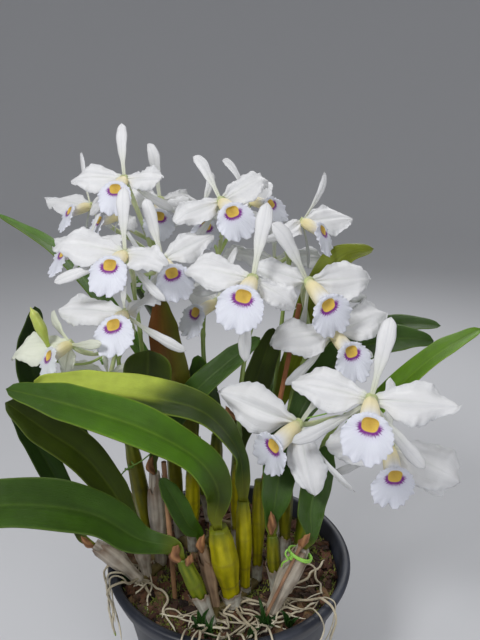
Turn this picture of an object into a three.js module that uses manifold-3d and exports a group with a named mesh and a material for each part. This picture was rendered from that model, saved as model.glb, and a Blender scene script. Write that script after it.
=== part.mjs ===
// A white-flowered cattleya orchid with a violet-ringed lip, grown as a clump in a dark plastic pot.
// Millimetres. +Z is up, and -Y is the side that the blooms turn to. The origin is the centre of the
// pot's flat underside, so the plant stands on z = 0.
//
// The plant is built as it grows: four creeping rhizomes carry the pseudobulbs, all but one of which end
// in a strap leaf, and eight flower stems rise from pseudobulb tops and end in stalked blooms.
import * as THREE from "three";
import { mergeVertices } from "three/addons/utils/BufferGeometryUtils.js";
import Module from "manifold-3d";

const wasm = await Module();
wasm.setup();

// Driving dimensions
const seat = 0.3; // free gap between two pieces that rest on each other
const pot = { baseRadius: 88, shoulder: 126, rimRadius: 125, height: 150, floor: 5, sides: 24 };
const drain = { count: 5, radius: 6, ring: 58 };
const mix = { level: 131, radius: 112.6, footRadius: 83.6 };
const sepal = { length: 70, width: 15, thick: 1.4 };
const petal = { length: 71, width: 38, thick: 1.4, wave: 3.5, twist: 40 };
const lip = {
  tube: 32,
  baseRadius: 4.5,
  mouthRadius: 8.5,
  lobeRadius: 20.5,
  lobeDrop: 11,
  wall: 1.3,
  sectors: 8,
  drop: 18,
  recline: 35,
};
const neck = { radius: 6, length: 7, sunk: 4, slope: 45 };
const rhizome = { radius: 5, sides: 6 };
const leafThick = 2.2;

const deg = THREE.MathUtils.degToRad;
const vec = (x, y, z) => new THREE.Vector3(x, y, z);
const at = (p) => vec(p[0], p[1], p[2]);

// Solids and meshes
function geometryFrom(points, faces) {
  const geometry = new THREE.BufferGeometry();
  geometry.setAttribute("position", new THREE.Float32BufferAttribute(points.flatMap((p) => p.toArray()), 3));
  geometry.setIndex(faces);
  return geometry;
}

function solidOf(geometry) {
  geometry.deleteAttribute("normal");
  geometry.deleteAttribute("uv");
  const merged = mergeVertices(geometry, 1e-3);
  const corners = merged.index.array;
  const triVerts = [];
  for (let i = 0; i < corners.length; i += 3) {
    const [a, b, c] = corners.slice(i, i + 3);
    if (a !== b && b !== c && c !== a) triVerts.push(a, b, c);
  }
  const vertProperties = new Float32Array(merged.attributes.position.array);
  const mesh = new wasm.Mesh({ numProp: 3, vertProperties, triVerts: new Uint32Array(triVerts) });
  return new wasm.Manifold(mesh);
}

const joined = (solids) => solids.reduce((whole, piece) => whole.add(piece));

function node(name, solid, look) {
  const found = solid.getMesh();
  const geometry = new THREE.BufferGeometry();
  geometry.setAttribute("position", new THREE.BufferAttribute(new Float32Array(found.vertProperties), 3));
  geometry.setIndex(new THREE.BufferAttribute(new Uint32Array(found.triVerts), 1));
  geometry.computeVertexNormals();
  const made = new THREE.Mesh(geometry, look);
  made.name = name;
  return made;
}

// A value read off a short list of [place, value] pairs, eased between them.
function profile(pairs, t) {
  const next = pairs.findIndex(([place]) => place >= t);
  if (next <= 0) return pairs[Math.max(next, 0)][1];
  const [t0, v0] = pairs[next - 1];
  const [t1, v1] = pairs[next];
  const share = (t - t0) / (t1 - t0);
  return v0 + (v1 - v0) * share * share * (3 - 2 * share);
}

// A closed thin blade. middle(t, u) is its middle surface: t runs from base to tip, u from edge to edge.
function blade(stations, columns, thickness, middle) {
  const step = 1e-3;
  const top = [];
  const bottom = [];
  for (const t of stations)
    for (const u of columns) {
      const along = middle(Math.min(t + step, 1), u).sub(middle(Math.max(t - step, 0), u));
      const across = middle(t, Math.min(u + step, 1)).sub(middle(t, Math.max(u - step, -1)));
      const half = across.cross(along).setLength(thickness(t, u) / 2);
      const point = middle(t, u);
      top.push(point.clone().add(half));
      bottom.push(point.sub(half));
    }
  const wide = columns.length;
  const under = top.length;
  const faces = [];
  const quad = (a, b, c, d) => faces.push(a, b, c, a, c, d);
  for (let i = 0; i + 1 < stations.length; i++) {
    for (let j = 0; j + 1 < wide; j++) {
      const a = i * wide + j;
      quad(a, a + 1, a + 1 + wide, a + wide);
      faces.push(under + a, under + a + 1 + wide, under + a + 1);
      faces.push(under + a, under + a + wide, under + a + 1 + wide);
    }
    const left = i * wide;
    const right = left + wide - 1;
    quad(left, left + wide, under + left + wide, under + left);
    quad(right + wide, right, under + right, under + right + wide);
  }
  const last = (stations.length - 1) * wide;
  for (let j = 0; j + 1 < wide; j++) {
    quad(j + 1, j, under + j, under + j + 1);
    quad(last + j, last + j + 1, under + last + j + 1, under + last + j);
  }
  return solidOf(geometryFrom([...top, ...bottom], faces));
}

// A smooth curve that is stepped from one of its given points to the next.
class KnottedCurve extends THREE.CatmullRomCurve3 {
  getPointAt(share) {
    return this.getPoint(share);
  }
  getTangentAt(share) {
    return this.getTangent(share);
  }
}

// A closed tube along a curve. It is swept with a radius of 1 and then swelled to radius(t) at each step.
function tube(curve, steps, sides, radius) {
  const corner = (k) => new THREE.Vector2(1, 0).rotateAround(new THREE.Vector2(), (k / sides) * 2 * Math.PI);
  const section = new THREE.Shape(Array.from({ length: sides }, (_, k) => corner(k)));
  const geometry = new THREE.ExtrudeGeometry(section, { steps, extrudePath: curve, bevelEnabled: false });
  const centres = curve.getSpacedPoints(steps);
  const spots = geometry.attributes.position;
  const spot = vec(0, 0, 0);
  for (let i = 0; i < spots.count; i++) {
    spot.fromBufferAttribute(spots, i);
    const apart = centres.map((centre) => centre.distanceTo(spot));
    const k = apart.indexOf(Math.min(...apart));
    spot.sub(centres[k]).setLength(radius(k / steps)).add(centres[k]);
    spots.setXYZ(i, spot.x, spot.y, spot.z);
  }
  return solidOf(geometry);
}

// A straight round rod with flat ends.
function rod(from, to, radius, sides) {
  const geometry = new THREE.CylinderGeometry(radius, radius, from.distanceTo(to), sides);
  const way = to.clone().sub(from).normalize();
  geometry.applyQuaternion(new THREE.Quaternion().setFromUnitVectors(vec(0, 1, 0), way));
  const middle = from.clone().lerp(to, 0.5);
  return solidOf(geometry.translate(middle.x, middle.y, middle.z));
}

// A solid turned about the Z axis, from a profile of [radius, height] that starts and ends on the axis.
function turned(outline, sides) {
  const profileLine = outline.map(([r, z]) => new THREE.Vector2(r, z));
  return solidOf(new THREE.LatheGeometry(profileLine, sides).rotateX(Math.PI / 2));
}

// Blooms. In a bloom's own frame +Z points along the upper sepal and the lip looks along -Y.
// turn swings the face to the viewer's right, nod lifts it, and tilt leans the upper sepal to the right.
const organWidth = {
  sepal: [[0, 0.28], [0.25, 0.36], [0.55, 0.8], [0.78, 1], [0.92, 0.8], [1, 0.28]],
  petal: [[0, 0.12], [0.14, 0.36], [0.34, 0.86], [0.56, 1], [0.76, 0.84], [0.9, 0.5], [1, 0.2]],
};
const organs = {
  dorsal: { kind: "sepal", angle: 0, lean: -4, curl: -14, sweep: 0 },
  leftPetal: { kind: "petal", angle: -72, lean: 4, curl: -20, sweep: -20, side: -1 },
  rightPetal: { kind: "petal", angle: 72, lean: 4, curl: -20, sweep: 20, side: 1 },
  leftLateral: { kind: "sepal", angle: -130, lean: -4, curl: -18, sweep: 6 },
  rightLateral: { kind: "sepal", angle: 130, lean: -4, curl: -18, sweep: -6 },
};
const organStations = {
  sepal: [0, 0.25, 0.55, 0.8, 1],
  petal: [0, 0.2, 0.42, 0.64, 0.85, 1],
};
const organColumns = { sepal: [-1, 1], petal: [-1, 0, 1] };

// The point, the across direction and the face direction at share t of an organ, as its spine bends.
function organSpine({ angle, lean, curl, sweep, length }, t) {
  const pieces = 8;
  const point = vec(0, 0, 0);
  let across, face;
  for (let i = 0; i <= pieces; i++) {
    const s = (t * (i === pieces ? pieces : i + 0.5)) / pieces;
    const a = deg(angle + sweep * s);
    const rise = deg(lean + curl * s);
    const radial = vec(Math.sin(a), 0, Math.cos(a));
    const front = vec(0, -1, 0);
    const along = radial.clone().multiplyScalar(Math.cos(rise)).addScaledVector(front, Math.sin(rise));
    face = front.clone().multiplyScalar(Math.cos(rise)).addScaledVector(radial, -Math.sin(rise));
    across = vec(Math.cos(a), 0, -Math.sin(a));
    if (i < pieces) point.addScaledVector(along, (length * t) / pieces);
  }
  return { point, across, face };
}

function organ(shape, open, phase) {
  const flared = shape.kind === "petal";
  const size = flared ? petal : sepal;
  const grow = shape.grow ?? 1;
  const form = { ...shape, length: size.length * grow, lean: shape.lean + open };
  const middle = (t, u) => {
    const { point, across, face } = organSpine(form, t);
    const half = (size.width / 2) * grow * profile(organWidth[shape.kind], t);
    const wave = flared ? petal.wave * t * Math.sin(2 * Math.PI * (1.6 * t + phase + 0.25 * u)) : 0;
    const twist = flared ? deg(shape.side * petal.twist * Math.min(t / 0.3, 1)) : 0;
    const side = across.clone().multiplyScalar(Math.cos(twist)).addScaledVector(face, Math.sin(twist));
    const front = face.multiplyScalar(Math.cos(twist)).addScaledVector(across, -Math.sin(twist));
    return point.addScaledVector(side, half * u).addScaledVector(front, Math.abs(u) * (wave - 0.12 * half));
  };
  return blade(organStations[shape.kind], organColumns[shape.kind], () => size.thick, middle);
}

// The lip: a trumpet whose slanting mouth flares into a round frilled lobe that hangs below the throat.
function lipSolid() {
  const n = lip.sectors;
  const axis = vec(0, -Math.cos(deg(lip.drop)), -Math.sin(deg(lip.drop)));
  const up = vec(0, -Math.sin(deg(lip.drop)), Math.cos(deg(lip.drop)));
  const lean = deg(lip.recline);
  const face = axis.clone().multiplyScalar(Math.cos(lean)).addScaledVector(up, Math.sin(lean));
  const high = up.clone().multiplyScalar(Math.cos(lean)).addScaledVector(axis, -Math.sin(lean));
  const ring = (centre, tall, way, depth, radius) =>
    Array.from({ length: n }, (_, k) => {
      const a = ((k + 0.5) / n) * 2 * Math.PI;
      const r = radius(-Math.cos(a), Math.sin(a));
      const across = vec(Math.sin(a) * r, 0, 0);
      return across.add(centre).addScaledVector(tall, Math.cos(a) * r).addScaledVector(way, depth(k));
    });
  const mouth = axis.clone().multiplyScalar(lip.tube);
  const lobe = (down, side) =>
    lip.lobeDrop * down + Math.sqrt(lip.lobeRadius ** 2 - (lip.lobeDrop * side) ** 2);
  const frill = (k) => (k % 2 ? 1.5 : -1.5);
  const rings = [
    ring(vec(0, 0, 0), up, axis, () => 1, () => lip.baseRadius),
    ring(mouth, high, face, () => -4, () => lip.mouthRadius),
    ring(mouth, high, face, (k) => frill(k) - lip.wall, lobe),
    ring(mouth, high, face, frill, lobe),
    ring(mouth, high, face, () => -1, () => lip.mouthRadius - lip.wall),
  ];
  const points = [...rings.flat(), axis.clone(), axis.clone().multiplyScalar(lip.tube * 0.35)];
  const last = (rings.length - 1) * n;
  const faces = [];
  for (let k = 0; k < n; k++) {
    const next = (k + 1) % n;
    for (let a = 0; a < last; a += n) {
      faces.push(a + k, a + n + k, a + n + next, a + k, a + n + next, a + next);
    }
    faces.push(points.length - 2, k, next, points.length - 1, last + next, last + k);
  }
  return solidOf(geometryFrom(points, faces));
}

// Each bloom: the flower stem that bears it, its centre, how it is turned, its size and how far it is open.
const blooms = [
  {
    stem: "top_left", place: [-98, 50, 526], turn: -12, nod: 4, tilt: -2, size: 0.8, open: 5,
    dorsal: { angle: -4, lean: -6, grow: 0.95 }, leftPetal: { angle: -78, lean: 6 },
    rightPetal: { angle: 80, lean: 20, grow: 0.78 }, rightLateral: { lean: -22 },
  },
  {
    stem: "top_left", place: [-147, 112, 494], turn: -56, nod: 12, tilt: -14, size: 0.78,
    dorsal: { angle: -6, lean: 18, grow: 1.1 }, leftPetal: { angle: -70, lean: 40, grow: 1.1 },
    rightLateral: { grow: 0.8 },
  },
  {
    stem: "top_left", place: [-111, 84, 487], turn: -58, nod: 14, tilt: 0, size: 0.72,
    leftPetal: { angle: -46, grow: 0.6 }, rightPetal: { angle: 90, grow: 0.65 },
    leftLateral: { grow: 0.7 },
  },
  {
    stem: "top_left", place: [-72, 103, 501], turn: 4, nod: -14, tilt: 4, size: 0.8,
    dorsal: { angle: -10, grow: 1.05 }, leftPetal: { angle: -76, lean: -12, grow: 0.85 },
    rightPetal: { angle: 90, lean: -20, grow: 0.8 }, leftLateral: { grow: 0.5, angle: -172 },
    rightLateral: { grow: 0.85 },
  },
  {
    stem: "mid_left", place: [-138, 50, 460], turn: -56, nod: 16, tilt: -10, size: 0.82,
    leftPetal: { lean: 28, grow: 0.9 }, leftLateral: { lean: 8, grow: 0.85 },
  },
  {
    stem: "mid_left", place: [-91, -4, 465], turn: -18, nod: 11, tilt: 0, size: 0.9, open: 8,
    dorsal: { angle: -4, lean: 0, grow: 0.95 }, leftPetal: { angle: -74, lean: 14, grow: 1.1 },
    rightPetal: { angle: 84, lean: 30, grow: 0.88 }, leftLateral: { angle: -118, lean: 20, grow: 1.1 },
    rightLateral: { angle: 136, lean: 4, grow: 0.9 },
  },
  {
    stem: "mid_left", place: [-61, 18, 455], turn: 21, nod: 4, tilt: -14, size: 0.85, open: -4,
    dorsal: { angle: 4, lean: 0 }, leftPetal: { grow: 0.6, lean: -20, angle: -45 },
    rightPetal: { angle: 74, grow: 0.97 }, leftLateral: { grow: 0.8, lean: -16, angle: -150 },
  },
  {
    stem: "low_left", place: [-95, 0, 408], turn: -16, nod: 17, tilt: -18, size: 0.95, open: 8,
    dorsal: { lean: -18, grow: 0.56 }, leftPetal: { angle: -62, lean: 6, grow: 1.02 },
    rightPetal: { angle: 68, lean: 16, grow: 0.6 }, leftLateral: { lean: 10, grow: 0.7 },
    rightLateral: { angle: 138, lean: -8 },
  },
  {
    stem: "low_left", place: [-145, -8, 382], turn: -46, nod: 8, tilt: -32, size: 0.82, open: 4,
    dorsal: { angle: -38, lean: -2 }, leftPetal: { angle: -66, lean: 42, grow: 1.12 },
    rightPetal: { angle: 196, lean: 20, grow: 0.55 }, leftLateral: { angle: -76, lean: 30, grow: 0.92 },
    rightLateral: { angle: 110, lean: 10 },
  },
  {
    stem: "low_left", place: [-121, 27, 336], turn: 0, nod: -20, tilt: 0, size: 0.6,
    dorsal: { lean: 10, grow: 0.7 },
  },
  {
    stem: "top_middle", place: [-7, 60, 504], turn: 18, nod: 6, tilt: -16, size: 0.92,
    dorsal: { angle: -2, lean: -20, grow: 0.9 }, leftPetal: { angle: -80, lean: 24, grow: 0.85 },
    rightPetal: { lean: 0, grow: 0.95 },
  },
  {
    stem: "top_middle", place: [-29, 91, 491], turn: 22, nod: -12, tilt: 10, size: 0.75,
    dorsal: { angle: 18, lean: -20, grow: 0.85 }, leftPetal: { grow: 0.7 }, rightPetal: { grow: 0.6 },
    rightLateral: { grow: 0.6 },
  },
  {
    stem: "top_middle", place: [22, 120, 498], turn: 54, nod: 16, tilt: -20, size: 0.8,
    dorsal: { angle: 22, lean: -12 }, leftPetal: { grow: 0.6 }, leftLateral: { grow: 0.7 },
  },
  {
    stem: "middle", place: [22, -18, 445], turn: -12, nod: 6, tilt: 12, dorsal: { angle: -4 },
    leftPetal: { angle: -84, lean: 10, grow: 0.92 }, rightPetal: { angle: 100, lean: -8, grow: 0.7 },
    leftLateral: { angle: -120, lean: -10 }, rightLateral: { angle: 176, lean: 8, grow: 1.1 },
  },
  {
    stem: "middle", place: [-12, 44, 407], turn: -50, nod: 8, tilt: 5, size: 0.85,
    rightPetal: { grow: 0.7 }, rightLateral: { grow: 0.6, lean: -12 },
  },
  {
    stem: "right", place: [74, 10, 436], turn: 30, nod: -13, tilt: -22, dorsal: { angle: -10 },
    leftPetal: { angle: -44, lean: -16, grow: 0.75 }, rightPetal: { angle: 102, lean: 18, grow: 1.05 },
    leftLateral: { angle: -158, lean: 12, grow: 1.1 },
    rightLateral: { angle: 134, lean: 16, grow: 1.1 },
  },
  {
    stem: "right", place: [99, 8, 386], turn: 27, nod: 3, tilt: -5, size: 0.95, open: 8,
    dorsal: { lean: -34, grow: 0.65 }, rightLateral: { lean: 6, grow: 0.85 },
  },
  {
    stem: "top_right", place: [73, 72, 483], turn: 56, nod: 5, tilt: 26, size: 0.85, open: 6,
    dorsal: { angle: 20, lean: 10, grow: 1.05 }, leftPetal: { angle: -120, grow: 0.6 },
    rightPetal: { angle: 56, lean: 30, grow: 1.1 },
  },
  {
    stem: "top_right", place: [49, 126, 432], turn: 165, nod: -5, tilt: 0, size: 0.85,
  },
  {
    stem: "low_right", place: [119, -76, 357], turn: -8, nod: 6, tilt: 11, size: 1.02,
    dorsal: { lean: 0 }, leftPetal: { angle: -82, grow: 0.95 },
    leftLateral: { angle: -138, lean: 8, grow: 1.1 }, rightLateral: { angle: 132, lean: 6, grow: 1.1 },
  },
  {
    stem: "low_right", place: [65, -38, 316], turn: -55, nod: -14, tilt: 25, open: 16,
    dorsal: { angle: 2, lean: -44, grow: 0.9 }, leftPetal: { angle: -84, lean: 20, grow: 1.15 },
    rightPetal: { angle: 120, lean: 10, grow: 0.95 }, leftLateral: { lean: 4 },
    rightLateral: { angle: 116, lean: -12, grow: 1.1 },
  },
  {
    stem: "low_right", place: [148, -34, 292], turn: 6, nod: -13, tilt: 8,
    dorsal: { lean: -26, grow: 0.9 }, leftPetal: { angle: -76, lean: 20, grow: 0.9 },
    rightPetal: { angle: 94, lean: 28, grow: 1.15 }, leftLateral: { angle: -150 },
    rightLateral: { angle: 128, lean: 24, grow: 1.15 },
  },
];

const neckAxis = vec(0, Math.cos(deg(neck.slope)), -Math.sin(deg(neck.slope)));
const bloomSpin = ({ turn, nod, tilt }) => new THREE.Euler(deg(-nod), deg(tilt), deg(turn), "ZXY");

function bloomSolid(bloom, index) {
  const phase = (index * 0.37) % 1;
  const made = Object.entries(organs).map(([name, shape], k) =>
    organ({ ...shape, ...bloom[name] }, bloom.open ?? 0, phase + 0.3 * k),
  );
  const neckEnd = neckAxis.clone().multiplyScalar(neck.length);
  made.push(rod(neckAxis.clone().multiplyScalar(-neck.sunk), neckEnd, neck.radius, 5));
  made.push(lipSolid());
  const size = bloom.size ?? 1;
  return joined(made).scale([size, size, size]);
}

// Pseudobulbs. Each grows from its rhizome at base and ends in a flat top that a leaf stands on.
const bulbs = {
  front: [
    { name: "f1", base: [-16, -84], top: [-41, -82, 206], radius: 8 },
    { name: "f2", base: [-12, -66], top: [-24, -56, 198], radius: 6 },
    { name: "f3", base: [4, -60], top: [-9, -60, 221], radius: 13 },
    { name: "f4", base: [16, -44], top: [14, -38, 236], radius: 8 },
    { name: "f5", base: [28, -28], top: [30, -20, 246], radius: 7 },
  ],
  left: [
    { name: "l1", base: [-90, -30], top: [-134, -24, 176], radius: 8 },
    { name: "l2", base: [-84, -22], top: [-90, -22, 180], radius: 7 },
    { name: "l3", base: [-72, -4], top: [-76, 6, 239], radius: 8 },
    { name: "l4", base: [-84, 14], top: [-101, 20, 266], radius: 9 },
    { name: "l5", base: [-88, 36], top: [-134, 30, 234], radius: 7 },
  ],
  right: [
    { name: "r1", base: [40, -72], top: [70, -60, 200], radius: 9.5 },
    { name: "r2", base: [46, -52], top: [42, -42, 200], radius: 7 },
    { name: "r3", base: [66, -18], top: [86, 0, 236], radius: 8 },
    { name: "r4", base: [58, 2], top: [58, 10, 252], radius: 8 },
    { name: "r5", base: [52, 38], top: [48, 56, 262], radius: 8 },
  ],
  back: [
    { name: "b1", base: [-56, 40], top: [-62, 44, 262], radius: 8 },
    { name: "b2", base: [-40, 18], top: [-38, 12, 244], radius: 8 },
    { name: "b3", base: [-18, 44], top: [-14, 42, 262], radius: 8 },
    { name: "b4", base: [8, 20], top: [10, 8, 250], radius: 8 },
    { name: "b5", base: [6, 58], top: [10, 76, 240], radius: 8 },
    { name: "b6", base: [-24, 70], top: [-40, 92, 232], radius: 8 },
  ],
};
const bulbSwell = [[0, 0.62], [0.2, 0.66], [0.6, 1], [0.85, 0.9], [1, 0.7]];
const allBulbs = Object.fromEntries(Object.values(bulbs).flatMap((row) => row.map((b) => [b.name, b])));

const creepHeight = mix.level + seat + rhizome.radius;

// The middle line of a pseudobulb, and a seat on its flat top, set back from the middle by a distance.
function bulbCurve({ base, top }) {
  const foot = vec(base[0], base[1], creepHeight);
  const head = at(top);
  const rise = foot.clone().lerp(head, 0.4);
  rise.z += 6;
  return new THREE.QuadraticBezierCurve3(foot, rise, head);
}

function bulbSeat(name, setBack) {
  const axis = bulbCurve(allBulbs[name]).getTangentAt(1);
  const back = vec(0, 1, 0).projectOnPlane(axis).setLength(setBack);
  return at(allBulbs[name].top).addScaledVector(axis, seat).add(back);
}

// Aerial roots that leave the foot of a pseudobulb and hang over the pot's rim: the pseudobulb's place in its
// row, the way that the root runs round the pot from +X, and the height that its end hangs at.
const roots = {
  front: [[0, 258, 108], [2, 282, 96]],
  left: [[1, 206, 92], [0, 192, 76]],
  right: [[1, 320, 84], [0, 306, 118]],
  back: [],
};

function rootCurve(foot, bearing, drop) {
  const out = vec(Math.cos(deg(bearing)), Math.sin(deg(bearing)), 0);
  const overRim = [[109.5, 149], [115.5, 152.8], [125.4, 152.6], [128, 147], [128, 138], [125, drop]];
  const path = overRim.map(([r, z]) => out.clone().multiplyScalar(r).setZ(z));
  return new KnottedCurve([foot, ...path], false, "centripetal");
}

function growthSolid(row, side) {
  const feet = row.map(({ base }) => vec(base[0], base[1], creepHeight));
  const creep = new KnottedCurve(feet, false, "centripetal");
  const made = [tube(creep, row.length - 1, rhizome.sides, () => rhizome.radius)];
  for (const bulb of row) {
    made.push(tube(bulbCurve(bulb), 3, 6, (t) => bulb.radius * profile(bulbSwell, t)));
  }
  for (const [place, bearing, drop] of roots[side]) {
    made.push(tube(rootCurve(feet[place], bearing, drop), 6, 4, () => 2));
  }
  return joined(made);
}

// Flower stems: a stalk from the top of a pseudobulb, and a branch from it to the back of each bloom.
const stems = {
  top_left: { bulb: "b1", set: -2.6, route: [[-68, 58, 340], [-78, 100, 430], [-84, 122, 470]] },
  mid_left: { bulb: "l3", route: [[-84, 30, 320], [-92, 46, 400], [-96, 50, 426]] },
  low_left: { bulb: "l4", route: [[-108, 34, 310], [-112, 40, 340], [-112, 36, 364]] },
  top_middle: { bulb: "b3", route: [[-28, 72, 340], [-22, 108, 420], [-4, 126, 456]] },
  middle: { bulb: "b4", set: -2.6, route: [[11, 12, 320], [17, 28, 362], [24, 38, 390]] },
  right: { bulb: "r4", route: [[64, 34, 310], [78, 46, 350], [84, 46, 376]] },
  top_right: { bulb: "r5", route: [[54, 84, 350], [62, 104, 420], [66, 106, 444]] },
  low_right: { bulb: "r3", set: -2.6, route: [[94, 0, 276], [104, -4, 296], [112, -10, 312]] },
};

function stemSolid(name) {
  const { bulb, route, set = 2.8 } = stems[name];
  const axis = bulbCurve(allBulbs[bulb]).getTangentAt(1);
  const foot = bulbSeat(bulb, set);
  const knots = [foot, foot.clone().addScaledVector(axis, 16), ...route.map(at)];
  const stalk = new THREE.CatmullRomCurve3(knots, false, "centripetal");
  const made = [tube(stalk, 5, 4, (t) => 2.8 - 0.8 * t)];
  const borne = blooms.filter((bloom) => bloom.stem === name);
  borne.forEach((bloom, i) => {
    const from = stalk.getPointAt(0.98 - 0.09 * (borne.length - 1 - i));
    const back = neckAxis.clone().applyEuler(bloomSpin(bloom));
    const to = at(bloom.place).addScaledVector(back, neck.length * (bloom.size ?? 1) + seat);
    const reach = from.distanceTo(to);
    const rise = stalk.getTangentAt(0.95).multiplyScalar(reach * 0.3).add(from);
    const bend = new THREE.CubicBezierCurve3(from, rise, to.clone().addScaledVector(back, reach * 0.45), to);
    made.push(tube(bend, 3, 4, (t) => 1.6 + 1.1 * t));
  });
  return joined(made);
}

// Leaves. Each stands on a pseudobulb's top and runs through the points of its route.
const leafWidth = [[0, 0.2], [0.1, 0.36], [0.35, 0.85], [0.6, 1], [0.82, 0.88], [0.94, 0.56], [1, 0.2]];
const leafStations = [0, 0.1, 0.3, 0.52, 0.74, 0.91, 1];
const leaves = [
  {
    bulb: "f1", width: 44, face: [0.2, -0.5, 0.85],
    route: [[-74, -92, 232], [-110, -106, 268], [-168, -140, 300], [-206, -160, 302]],
  },
  {
    bulb: "f3", width: 37, face: [0.1, -0.6, 0.8],
    route: [[-8, -66, 260], [-22, -78, 299], [-62, -92, 336], [-114, -100, 361], [-169, -105, 380]],
  },
  {
    bulb: "f4", width: 42, face: [0.3, -0.3, 0.9],
    route: [[8, -42, 290], [-21, -46, 330], [-73, -50, 348], [-117, -54, 356], [-164, -60, 364]],
  },
  {
    bulb: "f2", width: 20, face: [0.5, -0.8, 0.2],
    route: [[-36, -60, 224], [-47, -62, 250], [-60, -61, 274]],
  },
  {
    bulb: "l1", width: 26, face: [0.6, -0.6, 0.3],
    route: [[-160, -18, 222], [-188, -16, 290], [-202, -20, 322]],
  },
  {
    bulb: "l2", width: 36, face: [0.3, -0.6, 0.7],
    route: [[-98, -30, 214], [-130, -44, 284], [-160, -60, 322], [-184, -74, 354]],
  },
  {
    bulb: "l4", width: 46, face: [0.1, -1, 0.2],
    route: [[-86, 2, 310], [-76, -12, 346], [-72, -18, 380]],
  },
  {
    bulb: "l3", width: 26, face: [-0.3, -0.8, 0.5],
    route: [[-60, 0, 290], [-30, 2, 332], [0, 8, 358], [30, 13, 381]],
  },
  {
    bulb: "l5", width: 34, face: [0.7, -0.7, 0.1],
    route: [[-168, 28, 288], [-197, 26, 344], [-186, 24, 409]],
  },
  {
    bulb: "r2", width: 34, face: [0, -1, 0.2],
    route: [[44, -36, 230], [50, -16, 262], [56, 6, 304]],
  },
  {
    bulb: "r1", width: 30, face: [0.1, -1, 0.2],
    route: [[77, -44, 228], [86, -26, 256], [96, -14, 280]],
  },
  {
    bulb: "r5", width: 36, face: [0.2, -0.6, 0.8],
    route: [[70, 60, 340], [90, 58, 410], [112, 62, 448], [144, 62, 458]],
  },
  {
    bulb: "r4", width: 38, face: [0, -0.6, 0.8],
    route: [[80, 28, 310], [122, 46, 352], [174, 52, 366], [210, 52, 364]],
  },
  {
    bulb: "r3", width: 34, face: [-0.5, -0.2, 0.7], set: 2.4,
    route: [[108, 14, 262], [152, 14, 312], [200, 16, 360], [244, 22, 387]],
  },
  {
    bulb: "b1", width: 30, face: [0.5, -0.2, 0.8], set: 2.4,
    route: [[-90, 74, 330], [-128, 88, 384], [-184, 98, 448], [-244, 100, 488]],
  },
  {
    bulb: "b3", width: 30, face: [-0.5, -0.9, 0.1],
    route: [[-18, 40, 300], [-26, 34, 334], [-31, 32, 356]],
  },
  {
    bulb: "b4", width: 34, face: [0.4, -0.9, 0.1], set: 2.4,
    route: [[18, 28, 300], [32, 44, 340], [45, 52, 378]],
  },
  {
    bulb: "b2", width: 34, face: [0.3, -1, 0],
    route: [[-50, 22, 310], [-64, 34, 370], [-68, 38, 414]],
  },
  {
    bulb: "b5", width: 34, face: [0, -0.5, 0.9],
    route: [[60, 96, 308], [130, 100, 350], [190, 94, 368], [228, 88, 369]],
  },
  {
    bulb: "b6", width: 38, face: [0.3, 0.7, 0.6],
    route: [[-60, 112, 300], [-86, 136, 360], [-112, 150, 396]],
  },
];

function leafSolid({ bulb, route, width, face, set = -2, fold = 0.22 }) {
  const axis = bulbCurve(allBulbs[bulb]).getTangentAt(1);
  const foot = bulbSeat(bulb, set);
  const start = [0, 6, 14].map((rise) => foot.clone().addScaledVector(axis, rise));
  const curve = new THREE.CatmullRomCurve3([...start, ...route.map(at)], false, "centripetal");
  const outward = vec(0, -1, 0);
  const middle = (t, u) => {
    const along = curve.getTangentAt(t);
    const hint = outward.clone().lerp(at(face).normalize(), Math.min(t / 0.2, 1));
    const across = along.clone().cross(hint).normalize();
    const front = across.clone().cross(along);
    const half = (width / 2) * profile(leafWidth, t);
    const rise = half * fold * Math.abs(u);
    return curve.getPointAt(t).addScaledVector(across, half * u).addScaledVector(front, rise);
  };
  return blade(leafStations, [-1, 0, 1], () => leafThick, middle);
}

// Canes that stand in the mix and hold the stalks up, and the soft tie round the leaning pseudobulb.
const canes = {
  cane_left: { from: [-50, -50, 60], to: [-58, -50, 284], radius: 2.4 },
  cane_middle: { from: [10, 32, 60], to: [68, 22, 412], radius: 2.4 },
  cane_right: { from: [20, -87, 110], to: [66, -69, 208], radius: 1.6 },
};
const tie = { place: [66.5, -64, 196], axis: [0.4, 0.15, 0.9], radius: 12, thick: 1.2 };

const caneSolid = ({ from, to, radius }, extra = 0) => rod(at(from), at(to), radius + extra, 6);

const tieSolid = () => solidOf(new THREE.TorusGeometry(tie.radius, tie.thick, 4, 12));

function potSolid() {
  const wall = [
    [0, 0],
    [pot.baseRadius, 0],
    [112, pot.shoulder],
    [119, pot.shoulder + 4],
    [pot.rimRadius, pot.height - 4],
    [124, pot.height],
    [117, pot.height],
    [113, pot.shoulder + 4],
    [108, pot.shoulder],
    [84, pot.floor],
    [0, pot.floor],
  ];
  let body = turned(wall, pot.sides);
  for (let k = 0; k < drain.count; k++) {
    const a = (k / drain.count) * 2 * Math.PI;
    const spot = [Math.cos(a) * drain.ring, Math.sin(a) * drain.ring];
    body = body.subtract(rod(vec(...spot, -2), vec(...spot, pot.floor + 2), drain.radius, 8));
  }
  return body;
}

function mixSolid() {
  const fill = [
    [0, pot.floor + seat],
    [mix.footRadius, pot.floor + seat],
    [mix.radius - 5, pot.shoulder],
    [mix.radius, pot.shoulder + 4.2],
    [mix.radius, mix.level],
    [0, mix.level],
  ];
  let body = turned(fill, pot.sides);
  for (const cane of Object.values(canes)) {
    const foot = { ...cane, from: at(cane.from).lerp(at(cane.to), -0.005).toArray() };
    body = body.subtract(caneSolid(foot, seat));
  }
  return body;
}

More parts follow.
